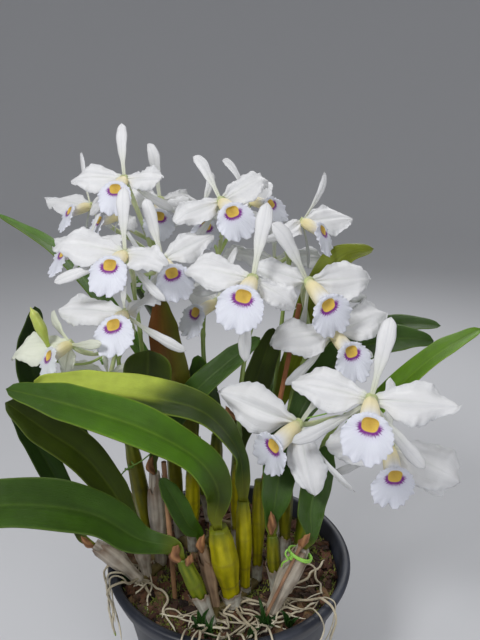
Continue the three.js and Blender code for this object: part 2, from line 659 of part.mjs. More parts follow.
const looks = {
  pot: new THREE.MeshStandardMaterial({ name: "pot_plastic", color: 0x20242e, roughness: 0.45 }),
  mix: new THREE.MeshStandardMaterial({ name: "bark_mix", color: 0x4a3a28, roughness: 0.95 }),
  bulb: new THREE.MeshStandardMaterial({ name: "pseudobulb", color: 0xa39c20, roughness: 0.5 }),
  leaf: new THREE.MeshStandardMaterial({ name: "leaf", color: 0x3f7a1e, roughness: 0.45 }),
  stem: new THREE.MeshStandardMaterial({ name: "flower_stem", color: 0x9cbf6a, roughness: 0.5 }),
  petal: new THREE.MeshStandardMaterial({ name: "petal", color: 0xf2f2f4, roughness: 0.6 }),
  cane: new THREE.MeshStandardMaterial({ name: "cane", color: 0x9a6440, roughness: 0.7 }),
  tie: new THREE.MeshStandardMaterial({ name: "tie", color: 0x9ad84e, roughness: 0.4 }),
};

const plant = new THREE.Group();
const number = (i) => String(i + 1).padStart(2, "0");
plant.add(node("pot", potSolid(), looks.pot));
plant.add(node("mix", mixSolid(), looks.mix));
for (const [side, row] of Object.entries(bulbs)) {
  plant.add(node(`growth_${side}`, growthSolid(row, side), looks.bulb));
}
for (const [i, leaf] of leaves.entries()) {
  plant.add(node(`leaf_${number(i)}`, leafSolid(leaf), looks.leaf));
}
for (const name of Object.keys(stems)) {
  plant.add(node(`stem_${name}`, stemSolid(name), looks.stem));
}
blooms.forEach((bloom, i) => {
  const made = node(`bloom_${number(i)}`, bloomSolid(bloom, i), looks.petal);
  made.position.set(...bloom.place);
  made.rotation.copy(bloomSpin(bloom));
  plant.add(made);
});
for (const [name, cane] of Object.entries(canes)) {
  plant.add(node(name, caneSolid(cane), looks.cane));
}
const soft = node("tie", tieSolid(), looks.tie);
soft.position.set(...tie.place);
soft.quaternion.setFromUnitVectors(vec(0, 0, 1), at(tie.axis).normalize());
plant.add(soft);

export default plant;
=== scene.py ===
import bpy
import numpy as np
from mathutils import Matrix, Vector, noise


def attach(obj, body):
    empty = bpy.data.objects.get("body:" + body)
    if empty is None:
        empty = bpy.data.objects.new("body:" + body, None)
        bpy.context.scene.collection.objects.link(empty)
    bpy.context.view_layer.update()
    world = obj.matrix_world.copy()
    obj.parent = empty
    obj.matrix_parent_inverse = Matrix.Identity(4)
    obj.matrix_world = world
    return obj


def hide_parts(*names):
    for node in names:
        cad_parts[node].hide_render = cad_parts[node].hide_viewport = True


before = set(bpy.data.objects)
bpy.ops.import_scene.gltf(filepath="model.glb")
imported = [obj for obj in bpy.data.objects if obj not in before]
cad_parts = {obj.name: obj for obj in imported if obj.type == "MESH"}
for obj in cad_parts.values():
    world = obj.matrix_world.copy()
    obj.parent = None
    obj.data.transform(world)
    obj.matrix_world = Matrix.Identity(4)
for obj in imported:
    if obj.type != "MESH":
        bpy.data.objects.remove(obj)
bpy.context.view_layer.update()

# Camera and studio
# The plant stands on a pale round sweep of paper that rises behind it, under a broad soft light from the
# upper left, a weaker one from the right and one from behind that edges the petals.
MM = 0.001
eye = {"place": (0.011, -0.530, 0.568), "dip": 17.3, "focal_px": 600, "frame_px": 640, "sensor": 36}
sweep = {"centre": 300, "flat": 3000, "bend": 3000, "steps": 24, "sides": 96}
lights = {
    "key_light": {"place": (-0.7, -0.9, 1.45), "size": 0.42, "power": 12.6},
    "fill_light": {"place": (0.75, -1.3, 0.95), "size": 0.8, "power": 5.6},
    "edge_light": {"place": (0.35, 1.15, 1.3), "size": 0.8, "power": 8},
}
lit_point = Vector((0, 0, 0.35))
air = {"Color": (0.98, 0.99, 1.0, 1), "Strength": 0.32}

camera = bpy.data.objects.new("camera", bpy.data.cameras.new("camera"))
bpy.context.scene.collection.objects.link(camera)
camera.location = eye["place"]
camera.rotation_euler = (np.radians(90 - eye["dip"]), 0, 0)
camera.data.lens = eye["sensor"] * eye["focal_px"] / eye["frame_px"]
camera.data.clip_start = 0.01
bpy.context.scene.camera = camera
bpy.context.scene.view_settings.view_transform = "Standard"


def colour(red, green, blue, alpha=1.0):
    """A linear colour from the values that the eye sees, each 0 to 255."""
    seen = np.array([red, green, blue]) / 255
    return (*np.where(seen < 0.04045, seen / 12.92, ((seen + 0.055) / 1.055) ** 2.4), alpha)


def wired(tree, kind, given=None, **settings):
    """A new node in a tree, with its settings made and its sockets set or linked."""
    node = tree.nodes.new(kind)
    for key, value in settings.items():
        setattr(node, key, value)
    for key, value in (given or {}).items():
        if isinstance(value, bpy.types.NodeSocket):
            tree.links.new(value, node.inputs[key])
        else:
            node.inputs[key].default_value = value
    return node


class Finish:
    """A material as it is made up: one base colour and roughness, then what varies over the piece."""

    def __init__(self, name, base, roughness):
        self.material = bpy.data.materials.new(name)
        self.material.use_nodes = True
        self.tree = self.material.node_tree
        self.shader = self.tree.nodes["Principled BSDF"].inputs
        self.set({"Base Color": base, "Roughness": roughness})

    def set(self, values):
        """Values that are the same all over the surface."""
        for label, value in values.items():
            self.shader[label].default_value = value

    def feed(self, label, output):
        self.tree.links.new(output, self.shader[label])

    def pattern(self, kind, scale, detail):
        """A pattern that is fixed to the piece, because it reads the piece's own coordinates."""
        place = wired(self.tree, "ShaderNodeTexCoord")
        given = {"Vector": place.outputs["Object"], "Scale": scale, "Detail": detail}
        return wired(self.tree, f"ShaderNodeTex{kind}", given).outputs

    def tones(self, factor, stops):
        """Colours read off a factor, each at its own place from 0 to 1."""
        ramp = wired(self.tree, "ShaderNodeValToRGB", {"Fac": factor})
        stages = ramp.color_ramp.elements
        for place, tone in stops[1:-1]:
            stages.new(place).color = colour(*tone)
        for k in (0, -1):
            stages[k].position = stops[k][0]
            stages[k].color = colour(*stops[k][1])
        return ramp.outputs["Color"]

    def relief(self, height, distance, strength=1.0):
        """A fine relief in the shading, a distance in metres high."""
        given = {"Height": height, "Distance": distance, "Strength": strength}
        self.feed("Normal", wired(self.tree, "ShaderNodeBump", given).outputs["Normal"])


def grid_faces(rows, columns, start=0, around=False, flip=False):
    """Four-sided faces over a grid of points, closed round its columns where the piece is a tube."""
    faces = []
    for i in range(rows - 1):
        for j in range(columns if around else columns - 1):
            a, b = start + i * columns + j, start + i * columns + (j + 1) % columns
            face = (a, b, b + columns, a + columns)
            faces.append(face[::-1] if flip else face)
    return faces


def all_round(sides):
    """The angles of the points of a ring."""
    return np.linspace(0, 2 * np.pi, sides, endpoint=False)


def level_rings(profile, sides):
    """Points of level rings about Z, one ring for each (radius, height) of a profile."""
    return [(r * np.cos(a), r * np.sin(a), z) for r, z in profile for a in all_round(sides)]


def new_piece(name, points, faces, finish, tint=None, uv=None):
    """A smooth mesh object from points in millimetres, with its own colours and its own UV map."""
    mesh = bpy.data.meshes.new(name)
    mesh.from_pydata(np.asarray(points) * MM, [], faces)
    mesh.polygons.foreach_set("use_smooth", np.ones(len(mesh.polygons), bool))
    if tint is not None:
        mesh.attributes.new("tint", "FLOAT_COLOR", "POINT").data.foreach_set("color", np.ravel(tint))
    if uv is not None:
        corners = np.zeros(len(mesh.loops), int)
        mesh.loops.foreach_get("vertex_index", corners)
        mesh.uv_layers.new(name="grain").data.foreach_set("uv", np.ravel(np.asarray(uv)[corners]))
    mesh.materials.append(finish.material)
    piece = bpy.data.objects.new(name, mesh)
    bpy.context.scene.collection.objects.link(piece)
    return piece


paper = Finish("paper_sweep", colour(208, 209, 213), 0.9)
rise = np.linspace(0, np.pi / 2, sweep["steps"])[1:]
sweep_profile = [(sweep["centre"], 0), (sweep["flat"], 0)]
sweep_profile += list(zip(sweep["flat"] + sweep["bend"] * np.sin(rise), sweep["bend"] * (1 - np.cos(rise))))
points = level_rings(sweep_profile, sweep["sides"])
faces = [tuple(range(sweep["sides"]))]
faces += grid_faces(len(sweep_profile), sweep["sides"], around=True, flip=True)
paper_floor = new_piece("paper_sweep", points, faces, paper)

for name, light in lights.items():
    data = bpy.data.lights.new(name, "AREA")
    data.shape = "DISK"
    data.size = light["size"]
    data.energy = light["power"]
    lamp = bpy.data.objects.new(name, data)
    lamp.location = light["place"]
    lamp.rotation_euler = (lit_point - lamp.location).to_track_quat("-Z", "Y").to_euler()
    bpy.context.scene.collection.objects.link(lamp)
world = bpy.data.worlds.new("studio_air")
world.use_nodes = True
for label, value in air.items():
    world.node_tree.nodes["Background"].inputs[label].default_value = value
bpy.context.scene.world = world

# Pot
# A round nursery pot, moulded in one piece from blue-black plastic with a satin surface. It has a thick
# rolled rim above a small shoulder, and five drainage holes through its flat floor.
POT_SIDES = 96
pot_profile = [
    (0, 0), (86, 0), (88, 1.5), (111.4, 124), (112.4, 127), (118, 129.4), (119.2, 131), (124.6, 144.5),
    (125.2, 147.2), (124.4, 149.3), (122, 150.2), (118.5, 150), (116.6, 148.6), (113, 130), (108, 126),
    (84, 6.5), (82, 5), (0, 5),
]
drain = {"count": 5, "radius": 6, "ring": 58, "below": -3, "above": 9, "sides": 32}


def settle(piece, slot, *nodes):
    """The piece rests with the plant and stands for these solids; the slot is not used."""
    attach(piece, "root")
    if nodes:
        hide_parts(*nodes)


def closed_ends(sides, foot, first, head, final, flip=False):
    """Faces that close a round skin, from a foot point to its first ring and a head point to its last."""
    faces = []
    for k in range(sides):
        after = (k + 1) % sides
        faces += [(foot, first + after, first + k), (head, final + k, final + after)]
    return [face[::-1] for face in faces] if flip else faces


def turned_solid(profile, sides):
    """Points and faces of a profile of (radius, height) turned about Z, from the axis back to the axis."""
    points = [(0, 0, profile[0][1]), *level_rings(profile[1:-1], sides), (0, 0, profile[-1][1])]
    faces = grid_faces(len(profile) - 2, sides, start=1, around=True)
    last = len(points) - 1
    return points, faces + closed_ends(sides, 0, 1, last, last - sides)


def made_plain(piece):
    """Turns the live modifiers of a piece into its own mesh."""
    graph = bpy.context.evaluated_depsgraph_get()
    mesh = bpy.data.meshes.new_from_object(piece.evaluated_get(graph), depsgraph=graph)
    piece.modifiers.clear()
    piece.data = mesh
    mesh.name = piece.name


pot_plastic = Finish("pot_plastic", colour(30, 34, 46), 0.42)
dust = pot_plastic.pattern("Noise", 38, 7)
pot_plastic.feed("Base Color", pot_plastic.tones(dust["Fac"], [(0.42, (27, 31, 43)), (0.78, (58, 62, 74))]))
worn = wired(pot_plastic.tree, "ShaderNodeMapRange", {"Value": dust["Fac"], "To Min": 0.34, "To Max": 0.62})
pot_plastic.feed("Roughness", worn.outputs["Result"])
pot_plastic.relief(pot_plastic.pattern("Noise", 900, 2)["Fac"], 0.0004, 0.12)

pot_shell = new_piece("pot_shell", *turned_solid(pot_profile, POT_SIDES), pot_plastic)
drill_profile = [(0, drain["below"]), (drain["radius"], drain["below"])]
drill_profile += [(drain["radius"], drain["above"]), (0, drain["above"])]
drills = []
for k in range(drain["count"]):
    turn = 2 * np.pi * k / drain["count"]
    spot = np.array([np.cos(turn), np.sin(turn), 0]) * drain["ring"]
    points, faces = turned_solid(drill_profile, drain["sides"])
    drill = new_piece(f"drill_{k}", np.array(points) + spot, faces, pot_plastic)
    bore = pot_shell.modifiers.new(f"drain_{k}", "BOOLEAN")
    bore.object = drill
    bore.solver = "EXACT"
    drills.append(drill)
made_plain(pot_shell)
for drill in drills:
    bpy.data.objects.remove(drill)
settle(pot_shell, "pot_plastic", "pot")

# Potting mix
# Pine bark chips over a body of fine dark compost, filled to a little below the rim. Living moss has
# settled between the chips.
mix = {"top": 131, "radius": 112.6, "foot": 83.6, "floor": 5.3, "shoulder": (5, 126), "edge": 130.2}
chip = {"shape": (1.0, 0.62, 0.34), "lean": 0.55, "ragged": 0.007, "most": 60000.0}
chip_sizes = {"Spacing": 0.0055, "Smallest": 0.007, "Largest": 0.017, "Seed": 4}
moss_leaf = {"Vertices": 4, "Side Segments": 2, "Radius Top": 0.02, "Radius Bottom": 0.22, "Depth": 1.0}
moss_sizes = {"Spacing": 0.0014, "Height": 0.0042, "Seed": 12}
moss_patch = {"scale": 26.0, "bare": 0.47, "full": 0.6, "lean": 0.9, "most": 240000.0}


def hills(points, scale, height):
    """The rise of an uneven surface at each point."""
    return np.array([noise.noise(Vector(p) * scale) for p in points]) * height


compost = Finish("compost", colour(48, 34, 26), 0.95)
crumb = compost.pattern("Voronoi", 260, 0)["Distance"]
compost.feed("Base Color", compost.tones(crumb, [(0, (22, 15, 12)), (1, (84, 60, 44))]))
compost.relief(crumb, 0.002)

compost_profile = [(0, mix["floor"]), (mix["foot"], mix["floor"])]
compost_profile += [(mix["radius"] - mix["shoulder"][0], mix["shoulder"][1]), (mix["radius"], mix["edge"])]
compost_profile += [(r, mix["top"]) for r in np.linspace(mix["radius"], 4, 26)] + [(0, mix["top"])]
points, faces = turned_solid(compost_profile, POT_SIDES)
points = np.array(points, float)
on_top = (points[:, 2] > mix["top"] - 0.5) & (np.hypot(points[:, 0], points[:, 1]) < mix["radius"] - 1)
points[on_top, 2] += hills(points[on_top], 0.06, 3.0) + hills(points[on_top], 0.25, 1.2)
settle(new_piece("compost_body", points, faces, compost), "bark_mix", "mix")


class Rule:
    """A geometry tree with named sizes, which ends in real faces and one material."""

    def __init__(self, name, sizes):
        self.tree = bpy.data.node_groups.new(name, "GeometryNodeTree")
        inputs = {"Geometry": "Geometry", **sizes, "Finish": "Material"}
        for label, kind in inputs.items():
            self.tree.interface.new_socket(label, in_out="INPUT", socket_type=f"NodeSocket{kind}")
        self.tree.interface.new_socket("Geometry", in_out="OUTPUT", socket_type="NodeSocketGeometry")
        self.sizes = self.tree.nodes.new("NodeGroupInput").outputs

    def add(self, kind, given=None, **settings):
        return wired(self.tree, kind, given, **settings)

    def strew(self, most, share=1.0):
        """Points over the source, no closer than its Spacing and at most so many to a square metre."""
        given = {"Mesh": self.sizes["Geometry"], "Distance Min": self.sizes["Spacing"]}
        given |= {"Seed": self.sizes["Seed"], "Density Max": most, "Density Factor": share}
        spots = self.add("GeometryNodeDistributePointsOnFaces", given, distribute_method="POISSON")
        return spots.outputs["Points"]

    def any_turn(self, lean):
        """A way for each strewn piece, turned at random and leaning by up to an angle."""
        given = {0: (-lean, -lean, 0.0), 1: (lean, lean, 6.28)}
        return self.add("FunctionNodeRandomValue", given, data_type="FLOAT_VECTOR").outputs[0]

    def any_value(self, low, high, seed):
        given = {2: low, 3: high, "Seed": seed}
        return self.add("FunctionNodeRandomValue", given, data_type="FLOAT").outputs[1]

    def laid(self, points, shape, turn, size):
        """One copy of a shape at each point."""
        given = {"Points": points, "Instance": shape.outputs["Mesh"], "Rotation": turn, "Scale": size}
        return self.add("GeometryNodeInstanceOnPoints", given).outputs["Instances"]

    def end(self, geometry, smooth=True):
        """Realize Instances, then smooth or flat faces, then Set Material, then the tree's output."""
        real = self.add("GeometryNodeRealizeInstances", {"Geometry": geometry}).outputs["Geometry"]
        shaded = self.add("GeometryNodeSetShadeSmooth", {"Geometry": real, "Shade Smooth": smooth})
        finish = {"Geometry": shaded.outputs["Geometry"], "Material": self.sizes["Finish"]}
        finished = self.add("GeometryNodeSetMaterial", finish)
        self.add("NodeGroupOutput", {0: finished.outputs["Geometry"]})

    def grow(self, source, name, sizes, finish):
        """The plain mesh object that the tree makes from a source object, which is used up."""
        rule = source.modifiers.new(self.tree.name, "NODES")
        rule.node_group = self.tree
        given = {**sizes, "Finish": finish.material}
        for item in self.tree.interface.items_tree:
            if item.in_out == "INPUT" and item.name in given:
                rule[item.identifier] = given[item.name]
        graph = bpy.context.evaluated_depsgraph_get()
        mesh = bpy.data.meshes.new_from_object(source.evaluated_get(graph), depsgraph=graph)
        mesh.name = name
        bpy.data.objects.remove(source)
        piece = bpy.data.objects.new(name, mesh)
        bpy.context.scene.collection.objects.link(piece)
        return piece


def bed(name, inner, outer, lift):
    """A thin round sheet a little above the compost, on which loose pieces are strewn."""
    rows, sides = 14, 64
    points = np.array(level_rings([(r, mix["top"]) for r in np.linspace(inner, outer, rows)], sides))
    points[:, 2] += hills(points, 0.06, 3.0) + lift
    return new_piece(name, points, grid_faces(rows, sides, around=True, flip=True), compost)


# each chip is a small slab, roughened after it is strewn so that no two are alike
strewn = Rule("strewn_chips", {"Spacing": "Float", "Smallest": "Float", "Largest": "Float", "Seed": "Int"})
slab_size = {"Size": chip["shape"], "Vertices X": 4, "Vertices Y": 3, "Vertices Z": 2}
slab = strewn.add("GeometryNodeMeshCube", slab_size)
size = strewn.any_value(strewn.sizes["Smallest"], strewn.sizes["Largest"], 3)
laid = strewn.laid(strewn.strew(chip["most"]), slab, strewn.any_turn(chip["lean"]), size)
shade = {"Geometry": laid, "Name": "shade", "Value": strewn.any_value(0.0, 1.0, 8)}
marked = strewn.add("GeometryNodeStoreNamedAttribute", shade, data_type="FLOAT", domain="INSTANCE")
chips = strewn.add("GeometryNodeRealizeInstances", {"Geometry": marked.outputs["Geometry"]})
grit = strewn.add("ShaderNodeTexNoise", {"Scale": 170.0, "Detail": 2.0})
middle = {0: grit.outputs["Color"], 1: (0.5, 0.5, 0.5)}
push = {0: strewn.add("ShaderNodeVectorMath", middle, operation="SUBTRACT").outputs["Vector"]}
push["Scale"] = chip["ragged"]
pushed = strewn.add("ShaderNodeVectorMath", push, operation="SCALE").outputs["Vector"]
broken = strewn.add("GeometryNodeSetPosition", {"Geometry": chips.outputs["Geometry"], "Offset": pushed})
strewn.end(broken.outputs["Geometry"], smooth=False)

bark = Finish("bark", colour(96, 62, 44), 0.9)
chip_shade = wired(bark.tree, "ShaderNodeAttribute", attribute_name="shade")
bark_tones = [(0, (40, 27, 22)), (0.3, (88, 56, 42)), (0.6, (122, 84, 58)), (0.85, (92, 78, 66))]
bark_tones += [(1, (150, 118, 84))]
fibre = bark.pattern("Noise", 420, 5)
fibrous = {"Fac": 0.6, "Color1": bark.tones(chip_shade.outputs["Fac"], bark_tones), "Color2": fibre["Color"]}
fibrous = wired(bark.tree, "ShaderNodeMixRGB", fibrous, blend_type="MULTIPLY")
bark.feed("Base Color", fibrous.outputs["Color"])
bark.relief(fibre["Fac"], 0.0015)
settle(strewn.grow(bed("bark_bed", 2, 108, 1.0), "bark_chips", chip_sizes, bark), "bark_mix")

# moss is strewn in patches, as tufts of tapering leaflets that lean at random
moss_rule = Rule("moss_tufts", {"Spacing": "Float", "Height": "Float", "Seed": "Int"})
patches = moss_rule.add("ShaderNodeTexNoise", {"Scale": moss_patch["scale"], "Detail": 1.0}).outputs["Fac"]
grown = {"Value": patches, "From Min": moss_patch["bare"], "From Max": moss_patch["full"]}
spots = moss_rule.strew(moss_patch["most"], moss_rule.add("ShaderNodeMapRange", grown).outputs["Result"])
tuft = moss_rule.add("GeometryNodeMeshCone", moss_leaf, fill_type="NONE")
moss_rule.end(moss_rule.laid(spots, tuft, moss_rule.any_turn(moss_patch["lean"]), moss_rule.sizes["Height"]))

moss = Finish("moss", colour(96, 112, 34), 0.85)
patch = moss.pattern("Noise", 60, 2)["Fac"]
moss.feed("Base Color", moss.tones(patch, [(0.35, (44, 62, 20)), (0.65, (142, 150, 62))]))
settle(moss_rule.grow(bed("moss_bed", 2, 111, 2.5), "moss_tufts", moss_sizes, moss), "bark_mix")

# Pseudobulbs
# Four creeping rhizomes carry the swollen stems that store the plant's water. Young ones are smooth and
# yellow-green with grooved sides, and old ones are wrapped in grey papery sheaths that fray at the top.
creep_height = 136.3
knuckle = {"radius": 5, "count": 9, "steps": 40, "sides": 16}
bulb_swell = [(0, 0.62), (0.2, 0.66), (0.6, 1), (0.85, 0.9), (1, 0.7)]
bulb_bow = {"at": 0.4, "rise": 6}
leaf_scars = {0.3: 0.012, 0.62: 0.01}
wrapped_skins = ("grey", "brown")
bulbs = {
    "front": {
        "f1": {"base": (-16, -84), "top": (-41, -82, 206), "radius": 8, "skin": "green", "sheath": 0.52},
        "f2": {"base": (-12, -66), "top": (-24, -56, 198), "radius": 6, "skin": "brown", "sheath": 1.0},
        "f3": {"base": (4, -60), "top": (-9, -60, 221), "radius": 13, "skin": "gold", "sheath": 0.2},
        "f4": {"base": (16, -44), "top": (14, -38, 236), "radius": 8, "skin": "gold", "sheath": 0.1},
        "f5": {"base": (28, -28), "top": (30, -20, 246), "radius": 7, "skin": "gold", "sheath": 0.25},
    },
    "left": {
        "l1": {"base": (-90, -30), "top": (-134, -24, 176), "radius": 8, "skin": "grey", "sheath": 1.0},
        "l2": {"base": (-84, -22), "top": (-90, -22, 180), "radius": 7, "skin": "grey", "sheath": 1.0},
        "l3": {"base": (-72, -4), "top": (-76, 6, 239), "radius": 8, "skin": "grey", "sheath": 1.0},
        "l4": {"base": (-84, 14), "top": (-101, 20, 266), "radius": 9, "skin": "olive", "sheath": 0.3},
        "l5": {"base": (-88, 36), "top": (-134, 30, 234), "radius": 7, "skin": "grey", "sheath": 1.0},
    },
    "right": {
        "r1": {"base": (40, -72), "top": (70, -60, 200), "radius": 9.5, "skin": "grey", "sheath": 1.0},
        "r2": {"base": (46, -52), "top": (42, -42, 200), "radius": 7, "skin": "olive", "sheath": 0.62},
        "r3": {"base": (66, -18), "top": (86, 0, 236), "radius": 8, "skin": "green", "sheath": 0.4},
        "r4": {"base": (58, 2), "top": (58, 10, 252), "radius": 8, "skin": "olive", "sheath": 0.3},
        "r5": {"base": (52, 38), "top": (48, 56, 262), "radius": 8, "skin": "olive", "sheath": 0.3},
    },
    "back": {
        "b1": {"base": (-56, 40), "top": (-62, 44, 262), "radius": 8, "skin": "olive", "sheath": 0.4},
        "b2": {"base": (-40, 18), "top": (-38, 12, 244), "radius": 8, "skin": "gold", "sheath": 0.3},
        "b3": {"base": (-18, 44), "top": (-14, 42, 262), "radius": 8, "skin": "olive", "sheath": 0.4},
        "b4": {"base": (8, 20), "top": (10, 8, 250), "radius": 8, "skin": "gold", "sheath": 0.3},
        "b5": {"base": (6, 58), "top": (10, 76, 240), "radius": 8, "skin": "green", "sheath": 0.4},
        "b6": {"base": (-24, 70), "top": (-40, 92, 232), "radius": 8, "skin": "green", "sheath": 0.4},
    },
}
skins = {
    "green": (colour(80, 98, 10), colour(122, 130, 22)),
    "gold": (colour(144, 140, 2), colour(186, 176, 12)),
    "olive": (colour(92, 96, 6), colour(134, 130, 20)),
    "brown": (colour(124, 98, 76), colour(182, 154, 126)),
    "grey": (colour(150, 139, 124), colour(206, 197, 182)),
}
paper_coat = (colour(160, 158, 146), colour(204, 202, 190))
creep_tones = (colour(96, 84, 44), colour(126, 112, 70))
young_top, scar_brown = colour(74, 96, 20), colour(96, 84, 52)
old_stain, sheath_stain, torn_brown = colour(96, 78, 64), colour(116, 92, 74), colour(112, 84, 60)


def eased(pairs, t):
    """Values read off a short list of (place, value) pairs, eased between them."""
    places, values = np.array(pairs, float).T
    t = np.asarray(t, float)
    k = np.clip(np.searchsorted(places, t, side="left"), 1, len(places) - 1)
    share = np.clip((t - places[k - 1]) / (places[k] - places[k - 1]), 0, 1)
    return values[k - 1] + (values[k] - values[k - 1]) * share * share * (3 - 2 * share)


def unit(vectors):
    """The same directions with a length of 1."""
    return vectors / np.maximum(np.linalg.norm(vectors, axis=-1, keepdims=True), 1e-9)


def foot_of(bulb, lift=0.0):
    """The spot on its rhizome from which a pseudobulb grows."""
    return np.array([*bulb["base"], creep_height + lift], float)


def arc(bulb):
    """The middle line of a pseudobulb: its foot, the point it bends towards, and its flat top."""
    foot, head = foot_of(bulb), np.array(bulb["top"], float)
    bend = foot + (head - foot) * bulb_bow["at"] + [0, 0, bulb_bow["rise"]]
    return foot, bend, head


def arc_points(bulb, steps):
    """Points along the middle line of a pseudobulb, from its foot to its top."""
    foot, bend, head = arc(bulb)
    t = np.linspace(0, 1, steps)[:, None]
    return foot * (1 - t) ** 2 + bend * 2 * t * (1 - t) + head * t**2


def rings_along(middle, sides):
    """Unit vectors round each point of a line, turned as little as possible from one to the next."""
    way = unit(np.gradient(middle, axis=0))
    right = unit(np.cross(way[0], [0.0, 1.0, 0.1]))
    rows, around = [], all_round(sides)[:, None]
    for direction in way:
        right = unit(right - direction * (right @ direction))
        up = np.cross(direction, right)
        rows.append(np.cos(around) * right + np.sin(around) * up)
    return np.array(rows)


class Sheaf:
    """Several skins that together are one piece: points, faces, colours and grain."""

    def __init__(self):
        self.points, self.faces, self.tint, self.uv = [], [], [], []
        self.count = 0

    def lay(self, points, faces, tint, uv):
        self.faces += [tuple(corner + self.count for corner in face) for face in faces]
        self.points.append(np.reshape(points, (-1, 3)))
        self.tint.append(np.reshape(tint, (-1, 4)))
        self.uv.append(np.reshape(uv, (-1, 2)))
        self.count += len(self.points[-1])

    def bound(self, name, finish):
        points, tint, uv = [np.concatenate(part) for part in (self.points, self.tint, self.uv)]
        return new_piece(name, points, self.faces, finish, tint, uv)


def grain_grid(rows, columns, grain):
    """Where each point of a grid lies in the grain, which is so wide across and so long from end to end."""
    u, v = np.meshgrid(np.linspace(0, grain[0], columns), np.linspace(0, grain[1], rows))
    return np.stack([u, v], -1)


def round_skin(sheaf, middle, radii, tint, grain=(6.0, 12.0)):
    """A closed round skin along a middle line, with the given radius and colour at each of its points."""
    steps, sides = radii.shape
    ring = rings_along(middle, sides)
    points = (middle[:, None, :] + ring * radii[:, :, None]).reshape(-1, 3)
    points = np.concatenate([points, middle[:1], middle[-1:]])
    last = steps * sides
    faces = grid_faces(steps, sides, around=True) + closed_ends(sides, last, 0, last + 1, last - sides)
    tints = np.concatenate([tint.reshape(-1, 4), tint[0, :1], tint[-1, :1]])
    uv = np.concatenate([grain_grid(steps, sides, grain).reshape(-1, 2), [[0, 0], [0, grain[1]]]])
    sheaf.lay(points, faces, tints, uv)


def blended(first, second, share):
    """Each colour of the first, turned towards the second by its share from 0 to 1."""
    share = np.asarray(share)[..., None]
    return np.array(first) * (1 - share) + np.array(second) * share


def bulb_skin(sheaf, bulb, turn):
    """One pseudobulb with its grooves; the looser papery coat below the height of its sheath is made apart.
    """
    steps, sides = 44, 40
    t = np.linspace(0, 1, steps)[:, None]
    around = all_round(sides)
    grooves = 0.035 * np.cos(7 * around + turn) + 0.015 * np.cos(15 * around + 3 * turn)
    coated = bulb["skin"] in wrapped_skins
    depth = np.clip(t / 0.2, 0, 1) * (0.5 if coated else 1.0)
    radii = bulb["radius"] * eased(bulb_swell, t) * (0.96 + grooves * depth)
    scars = sum(np.exp(-(((t - place) / width) ** 2)) for place, width in leaf_scars.items())
    radii = radii * (1 + 0.04 * scars)
    lit, pale = skins[bulb["skin"]]
    streak = 0.5 + 0.5 * np.sin(7 * around + turn + np.pi) * np.cos(2.3 * t * np.pi + turn)
    tint = blended(lit, pale, np.clip(streak, 0, 1))
    if coated:
        stain = 0.5 + 0.5 * np.sin(11 * around + 5 * t + turn) * np.sin(23 * t + 2 * around + turn)
        tint = blended(tint, old_stain, stain * 0.5)
    else:
        tint = blended(tint, young_top, np.clip((t - 0.86) / 0.14, 0, 1) * 0.7)
    tint = blended(tint, scar_brown, scars * 0.4)
    round_skin(sheaf, arc_points(bulb, steps), radii, tint)


def sheath_skin(sheaf, bulb, turn):
    """The papery coat: a thin open sleeve, torn along its upper edge, closed as a wall with two faces."""
    steps, sides, thick = 16, 36, 0.35
    around = all_round(sides)
    tear = 0.5 + 0.32 * np.sin(around + turn) + 0.16 * np.sin(5 * around + 2 * turn)
    tear = tear + 0.1 * np.sin(13 * around)
    reach = bulb["sheath"] * (0.72 + 0.28 * tear)
    line = arc_points(bulb, 101)
    ring = rings_along(line, sides)
    height = np.linspace(0, 1, steps)[:, None]
    level = height * reach
    k = np.clip((level * 100).round().astype(int), 0, 100)
    flare = 0.7 + height**3 + 0.25 * np.sin(9 * around + turn)
    outer = bulb["radius"] * eased(bulb_swell, level) + flare
    columns = np.arange(sides)
    outside = line[k] + ring[k, columns] * outer[:, :, None]
    inside = line[k] + ring[k, columns] * (outer - thick)[:, :, None]
    wall = np.concatenate([outside, inside[::-1]])
    dark, light = skins[bulb["skin"]] if bulb["skin"] in wrapped_skins else paper_coat
    fade = 0.68 + 0.18 * np.sin(13 * around + turn) + 0.14 * np.sin(29 * around + 2 * turn)
    tint = blended(dark, light, fade * np.ones((steps, 1)))
    stain = np.sin(3 * around + 7 * height + turn) * np.sin(2 * around - 11 * height + 2 * turn)
    tint = blended(tint, sheath_stain, np.clip(stain, 0, 1) * 0.55)
    tint = blended(tint, torn_brown, height**6 * 0.8)
    tints = np.concatenate([tint, tint[::-1]])
    faces = grid_faces(2 * steps, sides, around=True)
    last = (2 * steps - 1) * sides
    for j in range(sides):
        after = (j + 1) % sides
        faces.append((last + j, last + after, after, j))
    sheaf.lay(wall, faces, tints, grain_grid(2 * steps, sides, (9, 4)))


